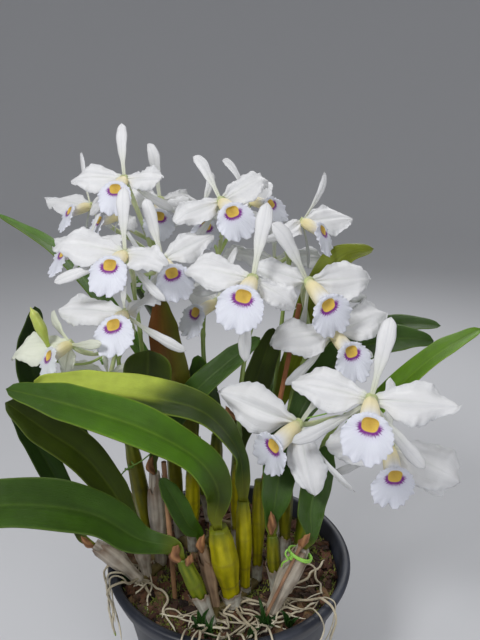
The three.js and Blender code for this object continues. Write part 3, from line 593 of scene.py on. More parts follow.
def grained(name, roughness, along, across, strength, distance, mottle=0.18, coat=0.0):
    """A living surface: its own colours, mottled a little, with fine grain that runs along the piece."""
    finish = Finish(name, (0.5, 0.5, 0.5, 1), roughness)
    tree = finish.tree
    own = wired(tree, "ShaderNodeAttribute", attribute_name="tint").outputs["Color"]
    tone = {"Value": finish.pattern("Noise", 90, 4)["Fac"], "From Min": 0.3, "From Max": 0.7}
    tone |= {"To Min": 1 - mottle, "To Max": 1 + mottle * 0.6}
    toned = {0: own, "Scale": wired(tree, "ShaderNodeMapRange", tone).outputs["Result"]}
    toned = wired(tree, "ShaderNodeVectorMath", toned, operation="SCALE")
    finish.feed("Base Color", toned.outputs["Vector"])
    lay = {"Vector": wired(tree, "ShaderNodeTexCoord").outputs["UV"], "Scale": (across, along, 1)}
    vein = {"Vector": wired(tree, "ShaderNodeMapping", lay).outputs["Vector"], "Scale": 1, "Detail": 3}
    finish.relief(wired(tree, "ShaderNodeTexNoise", vein).outputs["Fac"], distance, strength)
    finish.set({"Coat Weight": coat})
    return finish


bulb_flesh = grained("bulb_flesh", 0.46, 1.2, 9.0, 0.5, 0.0007, mottle=0.22, coat=0.08)
bulb_flesh.set({"Specular IOR Level": 0.3})
for side, row in bulbs.items():
    clump = Sheaf()
    feet = np.array([foot_of(bulb) for bulb in row.values()])
    spots = np.linspace(0, len(feet) - 1, knuckle["steps"])
    creep = np.stack([np.interp(spots, range(len(feet)), axis) for axis in feet.T], -1)
    swell = 0.88 + 0.1 * np.abs(np.sin(np.linspace(0, knuckle["count"] * np.pi, knuckle["steps"])))
    swell = swell[:, None] * np.ones((1, knuckle["sides"]))
    round_skin(clump, creep, knuckle["radius"] * swell, blended(*creep_tones, swell - 0.4))
    for number, bulb in enumerate(row.values()):
        bulb_skin(clump, bulb, 1.7 * number)
        sheath_skin(clump, bulb, 2.3 * number + 0.5)
    settle(clump.bound(f"pseudobulbs_{side}", bulb_flesh), "pseudobulb", f"growth_{side}")

# Leaves
# One thick strap leaf stands on nearly every pseudobulb. It is folded along its midrib, waxy and darker
# above than below, with a thin pale margin. Some turn their undersides to the viewer.
LEAF_THICK, LEAF_FOLD, LEAF_ROWS, LEAF_COLUMNS = 2.2, 0.22, 64, 25
leaf_width = [(0, 0.2), (0.1, 0.36), (0.35, 0.85), (0.6, 1), (0.82, 0.88), (0.94, 0.56), (1, 0.2)]
blunt_width = [(0, 0.2), (0.1, 0.36), (0.35, 0.85), (0.6, 0.98), (0.85, 0.96), (0.94, 0.88), (1, 0.8)]
greens = {
    "grass": (colour(66, 104, 6), colour(52, 72, 10), colour(140, 166, 50)),
    "mid": (colour(42, 70, 4), colour(50, 64, 8), colour(98, 124, 30)),
    "grey": (colour(50, 78, 14), colour(60, 76, 18), colour(110, 136, 56)),
    "deep": (colour(28, 50, 3), colour(42, 56, 7), colour(76, 100, 24)),
    "under": (colour(42, 62, 2), colour(76, 112, 16), colour(142, 162, 50)),
    "olive": (colour(48, 62, 2), colour(60, 76, 8), colour(112, 130, 32)),
    "brown": (colour(88, 90, 4), colour(74, 76, 10), colour(122, 112, 34)),
    "sunned": (colour(96, 106, 8), colour(72, 82, 12), colour(138, 146, 50)),
    "fresh": (colour(86, 124, 16), colour(62, 90, 14), colour(148, 178, 64)),
}
leaves = [
    {"bulb": "f1", "width": 44, "face": (0.2, -0.5, 0.85), "green": "grey",
     "route": [(-74, -92, 232), (-110, -106, 268), (-168, -140, 300), (-206, -160, 302)]},
    # the shaded share of this leaf is painted shade near its base and tip
    {"bulb": "f3", "width": 37, "face": (0.1, -0.6, 0.8), "green": "grass", "base": 0.5, "shaded": 0.8,
     "route": [(-8, -66, 260), (-22, -78, 299), (-62, -92, 336), (-114, -100, 361), (-169, -105, 380)]},
    {"bulb": "f4", "width": 42, "face": (0.3, -0.3, 0.9), "green": "under", "roll": 1,
     "route": [(8, -42, 290), (-21, -46, 330), (-73, -50, 348), (-117, -54, 356), (-164, -60, 364)]},
    {"bulb": "f2", "width": 20, "face": (0.5, -0.8, 0.2), "green": "mid",
     "route": [(-36, -60, 224), (-47, -62, 250), (-60, -61, 274)]},
    {"bulb": "l1", "width": 26, "face": (0.6, -0.6, 0.3), "green": "deep",
     "route": [(-160, -18, 222), (-188, -16, 290), (-202, -20, 322)]},
    {"bulb": "l2", "width": 36, "face": (0.3, -0.6, 0.7), "green": "olive",
     "route": [(-98, -30, 214), (-130, -44, 284), (-160, -60, 322), (-184, -74, 354)]},
    {"bulb": "l4", "width": 46, "face": (0.1, -1, 0.2), "green": "olive", "blunt": True,
     "route": [(-86, 2, 310), (-76, -12, 346), (-72, -18, 380)]},
    {"bulb": "l3", "width": 26, "face": (-0.3, -0.8, 0.5), "green": "mid",
     "route": [(-60, 0, 290), (-30, 2, 332), (0, 8, 358), (30, 13, 381)]},
    {"bulb": "l5", "width": 34, "face": (0.7, -0.7, 0.1), "green": "deep",
     "route": [(-168, 28, 288), (-197, 26, 344), (-186, 24, 409)]},
    {"bulb": "r2", "width": 34, "face": (0, -1, 0.2), "green": "mid",
     "route": [(44, -36, 230), (50, -16, 262), (56, 6, 304)]},
    {"bulb": "r1", "width": 30, "face": (0.1, -1, 0.2), "green": "mid",
     "route": [(77, -44, 228), (86, -26, 256), (96, -14, 280)]},
    {"bulb": "r5", "width": 36, "face": (0.2, -0.6, 0.8), "green": "sunned",
     "route": [(70, 60, 340), (90, 58, 410), (112, 62, 448), (144, 62, 458)]},
    {"bulb": "r4", "width": 38, "face": (0, -0.6, 0.8), "green": "mid",
     "route": [(80, 28, 310), (122, 46, 352), (174, 52, 366), (210, 52, 364)]},
    {"bulb": "r3", "width": 34, "face": (-0.5, -0.2, 0.7), "green": "fresh", "set": 2.4,
     "route": [(108, 14, 262), (152, 14, 312), (200, 16, 360), (244, 22, 387)]},
    {"bulb": "b1", "width": 30, "face": (0.5, -0.2, 0.8), "green": "grass", "set": 2.4,
     "route": [(-90, 74, 330), (-128, 88, 384), (-184, 98, 448), (-244, 100, 488)]},
    {"bulb": "b3", "width": 30, "face": (-0.5, -0.9, 0.1), "green": "mid",
     "route": [(-18, 40, 300), (-26, 34, 334), (-31, 32, 356)]},
    {"bulb": "b4", "width": 34, "face": (0.4, -0.9, 0.1), "green": "olive", "set": 2.4,
     "route": [(18, 28, 300), (32, 44, 340), (45, 52, 378)]},
    {"bulb": "b2", "width": 34, "face": (0.3, -1, 0), "green": "brown", "reddened": 0.85,
     "route": [(-50, 22, 310), (-64, 34, 370), (-68, 38, 414)]},
    {"bulb": "b5", "width": 34, "face": (0, -0.5, 0.9), "green": "mid",
     "route": [(60, 96, 308), (130, 100, 350), (190, 94, 368), (228, 88, 369)]},
    {"bulb": "b6", "width": 38, "face": (0.3, 0.7, 0.6), "green": "deep",
     "route": [(-60, 112, 300), (-86, 136, 360), (-112, 150, 396)]},
]
roll_start = [(0, 0), (0.48, 0.04), (0.7, 0.75), (0.85, 1), (1, 1)]
leaf_rise, leaf_set_back = (0.1, 6, 14), -2
dusky_green, young_base = colour(52, 62, 6), colour(128, 130, 30)
light_under, sun_red = colour(184, 200, 78), colour(118, 60, 12)
all_bulbs = {name: bulb for row in bulbs.values() for name, bulb in row.items()}


def smooth_line(points, steps=30):
    """A smooth line through points, whose bends are spaced by the square roots of the gaps."""
    points = np.array(points, float)
    padded = np.vstack([2 * points[0] - points[1], points, 2 * points[-1] - points[-2]])
    line = []
    s = np.linspace(0, 1, steps, endpoint=False)[:, None]
    for a, b, c, d in zip(padded, padded[1:], padded[2:], padded[3:]):
        gaps = [max(np.linalg.norm(q - p), 1e-4) ** 0.5 for p, q in ((a, b), (b, c), (c, d))]
        leave = ((b - a) / gaps[0] - (c - a) / (gaps[0] + gaps[1]) + (c - b) / gaps[1]) * gaps[1]
        arrive = ((c - b) / gaps[1] - (d - b) / (gaps[1] + gaps[2]) + (d - c) / gaps[2]) * gaps[1]
        square, cube = 3 * (c - b) - 2 * leave - arrive, 2 * (b - c) + leave + arrive
        line.append(b + leave * s + square * s**2 + cube * s**3)
    return np.vstack([*line, points[-1:]])


def at_shares(line, shares):
    """The points of a line at shares of its length."""
    length = np.concatenate([[0], np.cumsum(np.linalg.norm(np.diff(line, axis=0), axis=1))])
    where = np.asarray(shares, float) * length[-1]
    return np.stack([np.interp(where, length, line[:, axis]) for axis in range(3)], -1)


def bulb_seat(name, set_back):
    """The spot on a pseudobulb's flat top where a leaf or a flower stem stands, and the way that it rises."""
    _, bend, head = arc(all_bulbs[name])
    rise = unit(head - bend)
    back = np.array([0.0, 1.0, 0.0])
    back = unit(back - rise * (back @ rise)) * set_back
    return head + back, rise


def blade_skin(sheaf, middle, thick, face_tint, back_tint, grain):
    """A closed thin blade on a grid of middle points, with its own thickness and colours on its two faces."""
    rows, columns = middle.shape[:2]
    across = np.gradient(middle, axis=1)
    along = np.gradient(middle, axis=0)
    half = unit(np.cross(across, along)) * thick[..., None] / 2
    points = np.concatenate([(middle + half).reshape(-1, 3), (middle - half).reshape(-1, 3)])
    under = rows * columns
    faces = grid_faces(rows, columns) + grid_faces(rows, columns, start=under, flip=True)
    for i in range(rows - 1):
        left, right = i * columns, i * columns + columns - 1
        faces.append((left, left + columns, under + left + columns, under + left))
        faces.append((right + columns, right, under + right, under + right + columns))
    last = (rows - 1) * columns
    for j in range(columns - 1):
        faces.append((j + 1, j, under + j, under + j + 1))
        faces.append((last + j, last + j + 1, under + last + j + 1, under + last + j))
    uv = grain_grid(rows, columns, grain)
    sheaf.lay(points, faces, np.stack([face_tint, back_tint]), np.stack([uv, uv + 7]))


def round_tip(t, least):
    """The share of its width that a blade keeps as its tip closes in a half round."""
    return np.sqrt(np.clip(1 - ((t - 0.9) / 0.1).clip(0) ** 2, least, 1))


def blade_points(centre, hint, side, rise):
    """A grid of points about a middle line: so far across it, and so far out on the side that it faces."""
    way = unit(np.gradient(centre, axis=0))
    across = unit(np.cross(way, hint))
    front = np.cross(across, way)
    return centre[:, None] + across[:, None] * side[..., None] + front[:, None] * rise[..., None]


def leaf_tints(leaf, number, t, u, rolled):
    """The colours of a leaf's face and back: painted highlights, painted shade and a darker base, veins,
    midrib and margin.
    """
    down = t[:, None]
    face, back, pale = greens[leaf["green"]]
    rib, margin = np.exp(-((u / 0.07) ** 2)), np.abs(u) > 0.93
    # painted light: broad lighter patches over the face, standing for highlights and glare, mixed with the
    # veins
    light = 0.5 + 0.5 * np.sin(2.4 * u + 1.1 * number + 3 * down)
    light = light * (0.75 + 0.25 * np.sin(31 * u + 4 * down) * np.sin(11 * down + 3 * u))
    veins = 0.5 + 0.5 * np.sin(70 * u + 2 * np.sin(9 * down + number))
    face_tint = blended(face, np.array(face) * 1.6, light * 0.65 + veins * 0.3)
    # painted shade: where a leaf has a shaded share, its face is darkened towards its base and its tip
    shaded = leaf.get("shaded", 0) * np.clip(0.9 - 1.6 * np.sin(np.pi * np.clip(down * 1.15, 0, 1)), 0, 1)
    face_tint = blended(face_tint, np.array(face) * 0.55, shaded)
    # painted shade in the groove beside the midrib
    groove = np.exp(-(((np.abs(u) - 0.13) / 0.07) ** 2))
    face_tint = blended(face_tint, np.array(face) * 0.6, groove * 0.4)
    dusky = leaf.get("base", 0) * np.clip((0.36 - down) / 0.1, 0, 1.6)
    face_tint = blended(face_tint, dusky_green, dusky)
    face_tint = blended(face_tint, pale, rib * 0.17 + margin * 0.55)
    face_tint = blended(face_tint, young_base, np.clip(1 - down / 0.14, 0, 1) * 0.75)
    turned = leaf.get("roll", 0) * np.clip((u + 0.45) / 0.35, 0, 1)
    turned = turned * eased([(0, 0), (0.52, 0), (0.7, 0.9), (1, 1)], down)
    face_tint = blended(face_tint, light_under, np.clip(rolled * 1.6 + turned, 0, 1))
    reddened = leaf.get("reddened", 0) * np.clip(0.62 - 0.8 * u, 0, 1) * np.clip((down - 0.4) / 0.3, 0, 1)
    face_tint = blended(face_tint, sun_red, reddened)
    back_tint = blended(back, np.array(back) * 1.4, veins * 0.4)
    return face_tint, blended(back_tint, pale, rib * 0.6 + margin * 0.4)


def leaf_skin(leaf, number):
    """A strap leaf along its route, folded at the midrib, with a waved margin and at most one rolled edge."""
    foot, rise = bulb_seat(leaf["bulb"], leaf.get("set", leaf_set_back))
    start = [foot + rise * step for step in leaf_rise]
    t = np.linspace(0, 1, LEAF_ROWS) ** 0.9
    u = np.linspace(-1, 1, LEAF_COLUMNS)
    down = t[:, None]
    outward = np.array([0.0, -1.0, 0.0])
    hint = outward + (unit(np.array(leaf["face"], float)) - outward) * np.minimum(down / 0.2, 1)
    spread = blunt_width if leaf.get("blunt") else leaf_width
    half = leaf["width"] / 2 * eased(spread, np.minimum(down, 0.93)) * round_tip(down, 0.0004)
    half = half * (1 + leaf.get("base", 0) * np.exp(-(((down - 0.17) / 0.12) ** 2)))
    wave = 0.9 * np.sin(9 * down + number) * np.sign(u) * u**4
    rise = half * LEAF_FOLD * 1.25 * (np.sqrt(u**2 + 0.004) - 0.063) + wave
    rolled = leaf.get("roll", 0) * np.clip((u - 0.3) / 0.66, 0, 1) * eased(roll_start, down)
    centre = at_shares(smooth_line([*start, *leaf["route"]]), t)
    middle = blade_points(centre, hint, half * u * (1 - 0.12 * rolled**2), rise + rolled**2 * 5.0)
    thick = LEAF_THICK * (0.34 + 0.66 * (1 - u**2) ** 0.6) * np.clip((1 - down) / 0.05, 0.35, 1)
    skin = Sheaf()
    blade_skin(skin, middle, thick, *leaf_tints(leaf, number, t, u, rolled), (leaf["width"] / 4, 20))
    return skin


leaf_flesh = grained("leaf_flesh", 0.4, 0.9, 13.0, 0.6, 0.0008, mottle=0.13, coat=0.08)
leaf_flesh.set({"Coat Roughness": 0.3, "Specular IOR Level": 0.28, "Subsurface Weight": 0.06})
leaf_flesh.set({"Subsurface Radius": (0.4, 0.9, 0.2), "Subsurface Scale": 0.002})
for number, leaf in enumerate(leaves, 1):
    settle(leaf_skin(leaf, number).bound(f"strap_leaf_{number:02}", leaf_flesh), "leaf", f"leaf_{number:02}")

# Blooms
# Each bloom has three narrow sepals, two broad waved petals and a trumpet lip, all white. The lip's tube is
# cream outside, its throat is golden and its frilled lobe is lavender-white with a violet band at the mouth.
sepal_form = {"length": 70, "width": 15, "thick": 0.8, "groove": 0.55, "cup": 0.2, "tip": 3, "twist": 14}
petal_form = {"length": 71, "width": 38, "thick": 0.7, "groove": 1.1, "cup": 0.16, "tip": 3, "twist": 40}
hook_from = 0.62
petal_waves = {"broad": 6.2, "ripple": 1.7, "crinkle": 0.7, "fold": 0.65, "fine_fold": 0.24, "calm_tip": 0.55}
lip = {"tube": 32, "base": 4.5, "mouth": 8.5, "lobe": 20.5, "low": 11, "drop": 18, "recline": 35}
lip |= {"sides": 138, "opening": 6.9, "squared": 2.8, "deep": 3.3}
lobe_shares = (0.03, 0.07, 0.11, 0.16, 0.22, 0.3, 0.4, 0.5, 0.6, 0.7, 0.8, 0.88, 0.95, 1.0)
# Rings of the throat: share of the opening's width, depth, and how far the gold darkens, with brown veins and
# as painted shade deeper in
throat = [(0.9, -1.5, 0), (0.76, -2.2, 0.06), (0.58, -2.8, 0.16), (0.36, -3.2, 0.26), (0.16, -3.3, 0.3)]
neck = {"radius": 5.2, "thin": 2.9, "length": 7, "sunk": 4, "slope": np.radians(45), "steps": 12, "sides": 20}
neck_way = np.array([0, np.cos(neck["slope"]), -np.sin(neck["slope"])])
organ_width = {
    "sepal": [(0, 0.26), (0.25, 0.34), (0.55, 0.78), (0.76, 1), (0.92, 0.8), (1, 0.28)],
    "petal": [
        (0, 0.12), (0.12, 0.34), (0.32, 0.86), (0.5, 1), (0.68, 0.98), (0.8, 0.8), (0.9, 0.52), (1, 0.32),
    ],
    "tailed": [
        (0, 0.12), (0.12, 0.34), (0.3, 0.84), (0.46, 1), (0.6, 0.94), (0.72, 0.7), (0.84, 0.48), (1, 0.42),
    ],
}
organs = {
    "dorsal": {"kind": "sepal", "angle": 0, "lean": -4, "curl": -14, "sweep": 0},
    "leftPetal": {"kind": "petal", "angle": -72, "lean": 4, "curl": -20, "sweep": -20, "side": -1},
    "rightPetal": {"kind": "petal", "angle": 72, "lean": 4, "curl": -20, "sweep": 20, "side": 1},
    "leftLateral": {"kind": "sepal", "angle": -130, "lean": -4, "curl": -18, "sweep": 6, "slim": 0.74},
    "rightLateral": {"kind": "sepal", "angle": 130, "lean": -4, "curl": -18, "sweep": -6, "slim": 0.74},
}
blooms = [
    {"stem": "top_left", "place": (-98, 50, 526), "turn": -12, "nod": 4, "tilt": -2, "size": 0.8,
     "open": 5, "dorsal": {"angle": -4, "lean": -6, "grow": 0.95},
     "leftPetal": {"angle": -78, "lean": 6}, "rightPetal": {"angle": 80, "lean": 20, "grow": 0.78},
     "rightLateral": {"lean": -22}},
    {"stem": "top_left", "place": (-147, 112, 494), "turn": -56, "nod": 12, "tilt": -14, "size": 0.78,
     "dorsal": {"angle": -6, "lean": 18, "grow": 1.1, "hook": -60},
     "leftPetal": {"angle": -70, "lean": 40, "grow": 1.1}, "rightLateral": {"grow": 0.8}},
    {"stem": "top_left", "place": (-111, 84, 487), "turn": -58, "nod": 14, "tilt": 0, "size": 0.72,
     "leftPetal": {"angle": -46, "grow": 0.6}, "rightPetal": {"angle": 90, "grow": 0.65},
     "leftLateral": {"grow": 0.7}},
    {"stem": "top_left", "place": (-72, 103, 501), "turn": 4, "nod": -14, "tilt": 4, "size": 0.8,
     "dorsal": {"angle": -10, "grow": 1.05, "hook": -50},
     "leftPetal": {"angle": -76, "lean": -12, "grow": 0.85},
     "rightPetal": {"angle": 90, "lean": -20, "grow": 0.8}, "leftLateral": {"grow": 0.5, "angle": -172},
     "rightLateral": {"grow": 0.85}},
    {"stem": "mid_left", "place": (-138, 50, 460), "turn": -56, "nod": 16, "tilt": -10, "size": 0.82,
     "leftPetal": {"lean": 28, "grow": 0.9}, "leftLateral": {"lean": 8, "grow": 0.85}},
    {"stem": "mid_left", "place": (-91, -4, 465), "turn": -18, "nod": 11, "tilt": 0, "size": 0.9,
     "open": 8, "dorsal": {"angle": -4, "lean": 0, "grow": 0.95},
     "leftPetal": {"angle": -74, "lean": 14, "grow": 1.1},
     "rightPetal": {"angle": 84, "lean": 30, "grow": 0.88},
     "leftLateral": {"angle": -118, "lean": 20, "grow": 1.1},
     "rightLateral": {"angle": 136, "lean": 4, "grow": 0.9}},
    {"stem": "mid_left", "place": (-61, 18, 455), "turn": 21, "nod": 4, "tilt": -14, "size": 0.85,
     "open": -4, "dorsal": {"angle": 4, "lean": 0},
     "leftPetal": {"grow": 0.6, "lean": -20, "angle": -45}, "rightPetal": {"angle": 74, "grow": 0.97},
     "leftLateral": {"grow": 0.8, "lean": -16, "angle": -150}},
    {"stem": "low_left", "place": (-95, 0, 408), "turn": -16, "nod": 17, "tilt": -18, "size": 0.95,
     "open": 8, "dorsal": {"lean": -18, "grow": 0.56},
     "leftPetal": {"angle": -62, "lean": 6, "grow": 1.02},
     "rightPetal": {"angle": 68, "lean": 16, "grow": 0.6}, "leftLateral": {"lean": 10, "grow": 0.7},
     "rightLateral": {"angle": 138, "lean": -8}},
    {"stem": "low_left", "place": (-145, -8, 382), "turn": -46, "nod": 8, "tilt": -32, "size": 0.82,
     "open": 4, "dorsal": {"angle": -38, "lean": -2},
     "leftPetal": {"angle": -66, "lean": 42, "grow": 1.12},
     "rightPetal": {"angle": 196, "lean": 20, "grow": 0.55},
     "leftLateral": {"angle": -76, "lean": 30, "grow": 0.92}, "rightLateral": {"angle": 110, "lean": 10},
     "young": 0.45},
    {"stem": "low_left", "place": (-121, 27, 336), "turn": 0, "nod": -20, "tilt": 0, "size": 0.6,
     "dorsal": {"lean": 10, "grow": 0.7}, "young": 0.4},
    {"stem": "top_middle", "place": (-7, 60, 504), "turn": 18, "nod": 6, "tilt": -16, "size": 0.92,
     "dorsal": {"angle": -2, "lean": -20, "grow": 0.9, "hook": -55},
     "leftPetal": {"angle": -80, "lean": 24, "grow": 0.85}, "rightPetal": {"lean": 0, "grow": 0.95}},
    {"stem": "top_middle", "place": (-29, 91, 491), "turn": 22, "nod": -12, "tilt": 10, "size": 0.75,
     "dorsal": {"angle": 18, "lean": -20, "grow": 0.85}, "leftPetal": {"grow": 0.7},
     "rightPetal": {"grow": 0.6}, "rightLateral": {"grow": 0.6}},
    {"stem": "top_middle", "place": (22, 120, 498), "turn": 54, "nod": 16, "tilt": -20, "size": 0.8,
     "dorsal": {"angle": 22, "lean": -12, "hook": -90}, "leftPetal": {"grow": 0.6},
     "leftLateral": {"grow": 0.7}},
    {"stem": "middle", "place": (22, -18, 445), "turn": -12, "nod": 6, "tilt": 12,
     "dorsal": {"angle": -4}, "leftPetal": {"angle": -84, "lean": 10, "grow": 0.92},
     "rightPetal": {"angle": 100, "lean": -8, "grow": 0.7}, "leftLateral": {"angle": -120, "lean": -10},
     "rightLateral": {"angle": 176, "lean": 8, "grow": 1.1}},
    {"stem": "middle", "place": (-12, 44, 407), "turn": -50, "nod": 8, "tilt": 5, "size": 0.85,
     "rightPetal": {"grow": 0.7}, "rightLateral": {"grow": 0.6, "lean": -12}},
    {"stem": "right", "place": (74, 10, 436), "turn": 30, "nod": -13, "tilt": -22,
     "dorsal": {"angle": -10, "hook": -30}, "leftPetal": {"angle": -44, "lean": -16, "grow": 0.75},
     "rightPetal": {"angle": 102, "lean": 18, "grow": 1.05},
     "leftLateral": {"angle": -158, "lean": 12, "grow": 1.1},
     "rightLateral": {"angle": 134, "lean": 16, "grow": 1.1}},
    {"stem": "right", "place": (99, 8, 386), "turn": 27, "nod": 3, "tilt": -5, "size": 0.95, "open": 8,
     "dorsal": {"lean": -34, "grow": 0.65}, "rightLateral": {"lean": 6, "grow": 0.85}},
    {"stem": "top_right", "place": (73, 72, 483), "turn": 56, "nod": 5, "tilt": 26, "size": 0.85,
     "open": 6, "dorsal": {"angle": 20, "lean": 10, "grow": 1.05, "slim": 0.75, "hook": -55},
     "leftPetal": {"angle": -120, "grow": 0.6}, "rightPetal": {"angle": 56, "lean": 30, "grow": 1.1}},
    {"stem": "top_right", "place": (49, 126, 432), "turn": 165, "nod": -5, "tilt": 0, "size": 0.85},
    {"stem": "low_right", "place": (119, -76, 357), "turn": -8, "nod": 6, "tilt": 11, "size": 1.02,
     "dorsal": {"lean": 0}, "leftPetal": {"angle": -82, "grow": 0.95, "tail": 0.3},
     "rightPetal": {"tail": 0.9}, "leftLateral": {"angle": -138, "lean": 8, "grow": 1.1},
     "rightLateral": {"angle": 132, "lean": 6, "grow": 1.1}},
    {"stem": "low_right", "place": (65, -38, 316), "turn": -55, "nod": -14, "tilt": 25, "open": 16,
     "dorsal": {"angle": 2, "lean": -44, "grow": 0.9},
     "leftPetal": {"angle": -84, "lean": 20, "grow": 1.15},
     "rightPetal": {"angle": 120, "lean": 10, "grow": 0.95}, "leftLateral": {"lean": 4},
     "rightLateral": {"angle": 116, "lean": -12, "grow": 1.1}},
    {"stem": "low_right", "place": (148, -34, 292), "turn": 6, "nod": -13, "tilt": 8,
     "dorsal": {"lean": -26, "grow": 0.9}, "leftPetal": {"angle": -76, "lean": 20, "grow": 0.9},
     "rightPetal": {"angle": 94, "lean": 28, "grow": 1.15}, "leftLateral": {"angle": -150},
     "rightLateral": {"angle": 128, "lean": 24, "grow": 1.15}},
]
petal_white, petal_green = colour(234, 234, 236), colour(204, 213, 150)
young_green, lip_white = colour(218, 226, 180), colour(230, 233, 244)
# the grey at the end of the next line is painted shade for the creases of the lip's lobe
violet, lilac, painted_pleat_shade = colour(126, 8, 140), colour(190, 146, 220), colour(204, 200, 220)
# a painted shade grey, for the folds, midrib grooves and margins of petals and sepals
painted_shade_grey, collar_green = colour(198, 201, 206), colour(196, 212, 140)
back_white = np.array(lip_white) * [0.97, 0.97, 0.99, 1]
# the darker throat colour is brown veining and painted shade in the throat's depth
throat_gold, throat_veins_and_shade, tube_cream = colour(230, 196, 84), colour(166, 122, 40), colour(246, 230, 166)


def turned_by(bloom):
    """The rotation of a bloom: it leans by tilt, lifts its face by nod and swings it by turn."""
    turn, nod, tilt = np.radians([bloom["turn"], bloom["nod"], bloom["tilt"]])
    swing = np.array([[np.cos(turn), -np.sin(turn), 0], [np.sin(turn), np.cos(turn), 0], [0, 0, 1]])
    lift = np.array([[1, 0, 0], [0, np.cos(nod), np.sin(nod)], [0, -np.sin(nod), np.cos(nod)]])
    leant = np.array([[np.cos(tilt), 0, np.sin(tilt)], [0, 1, 0], [-np.sin(tilt), 0, np.cos(tilt)]])
    return swing @ lift @ leant


def spine(form, t):
    """The points, across directions and face directions of an organ's bending midline at shares t."""
    pieces = 8
    front = np.array([0.0, -1.0, 0.0])

    def directions(s):
        bow = form["sweep"] * s + form.get("hook", 0) * np.clip((s - hook_from) / (1 - hook_from), 0, 1) ** 2
        a = np.radians(form["angle"] + bow)[..., None]
        rise = np.radians(form["lean"] + form["curl"] * s)[..., None]
        radial = np.concatenate([np.sin(a), np.zeros_like(a), np.cos(a)], -1)
        along = radial * np.cos(rise) + front * np.sin(rise)
        face = front * np.cos(rise) - radial * np.sin(rise)
        across = np.concatenate([np.cos(a), np.zeros_like(a), -np.sin(a)], -1)
        return along, across, face

    steps = t[:, None] * (np.arange(pieces) + 0.5) / pieces
    points = directions(steps)[0].sum(1) * (form["length"] * t / pieces)[:, None]
    _, across, face = directions(t)
    return points, across, face


def petal_relief(shape, half, t, u, phase):
    """A petal's half width with its scallops, the rise of its waves and folds, the painted shade in its folds
    and along its midrib groove, and its twist.
    """
    down, edge, waves = t[:, None], np.abs(u), petal_waves
    last = np.clip((down - 0.7) / 0.3, 0, 1)
    scallop = 0.045 * np.sin(31 * down + 9 * phase + 2 * u) + 0.03 * np.sin(67 * down + 5 * phase - u)
    half = half * (1 + scallop * edge**4 * down * (1 - 0.6 * last))
    wave = waves["broad"] * down**0.7 * np.sin(2 * np.pi * (1.35 * down + phase + 0.22 * u)) * edge**1.4
    wave = wave * (1 - waves["calm_tip"] * last)
    ripple = waves["ripple"] * np.sin(29 * down + 3 * np.sin(6 * down + 6 * phase) + 4 * u + 2 * phase)
    ripple = ripple + waves["crinkle"] * np.sin(63 * down + 3 * u + 8 * phase)
    folds = waves["fold"] * np.sin(7.5 * u + 6 * phase)
    folds = folds + waves["fine_fold"] * np.sin(16 * u + 3 * down + 9 * phase)
    ripple = ripple * edge**4 * down**0.6 + folds * np.sin(np.pi * np.minimum(down * 1.05, 1)) ** 0.7
    groove = -petal_form["groove"] * np.exp(-((u / 0.1) ** 2)) * (1 - 0.5 * down)
    curled = -(5 * np.cos(5 * phase) + petal_form["tip"]) * last**2 - 0.45 * half * edge * last
    rise = wave + ripple + groove - petal_form["cup"] * half * edge**2 + curled * shape.get("grow", 1)
    # painted shade in the valleys of the folds and along the midrib groove
    shade = np.clip(-0.6 * folds, 0, 1) * 0.5 + 0.5 * np.exp(-((u / 0.05) ** 2)) * (1 - down)
    twist = np.radians(shape["side"] * petal_form["twist"] * np.minimum(down / 0.3, 1))
    return half, rise, shade, twist


def sepal_relief(shape, half, t, u, phase):
    """The same for a sepal, which is nearly flat, with a grooved midrib, painted shade along that groove, and
    a tip that bends back.
    """
    down, edge = t[:, None], np.abs(u)
    last = np.clip((down - 0.7) / 0.3, 0, 1)
    rise = -0.05 * half * edge - sepal_form["cup"] * half * edge**3
    rise = rise - sepal_form["groove"] * np.exp(-((u / 0.15) ** 2)) * (1 - 0.4 * down)
    rise = rise + 0.6 * edge**3 * np.sin(13 * down + 5 * phase) * down
    rise = rise - sepal_form["tip"] * last**2 * shape.get("grow", 1)
    # painted shade along the midrib groove
    shade = 0.45 * np.exp(-((u / 0.12) ** 2)) * (1 - 0.5 * down)
    return half, rise, shade, np.radians(sepal_form["twist"] * np.sin(6 * phase) * down)


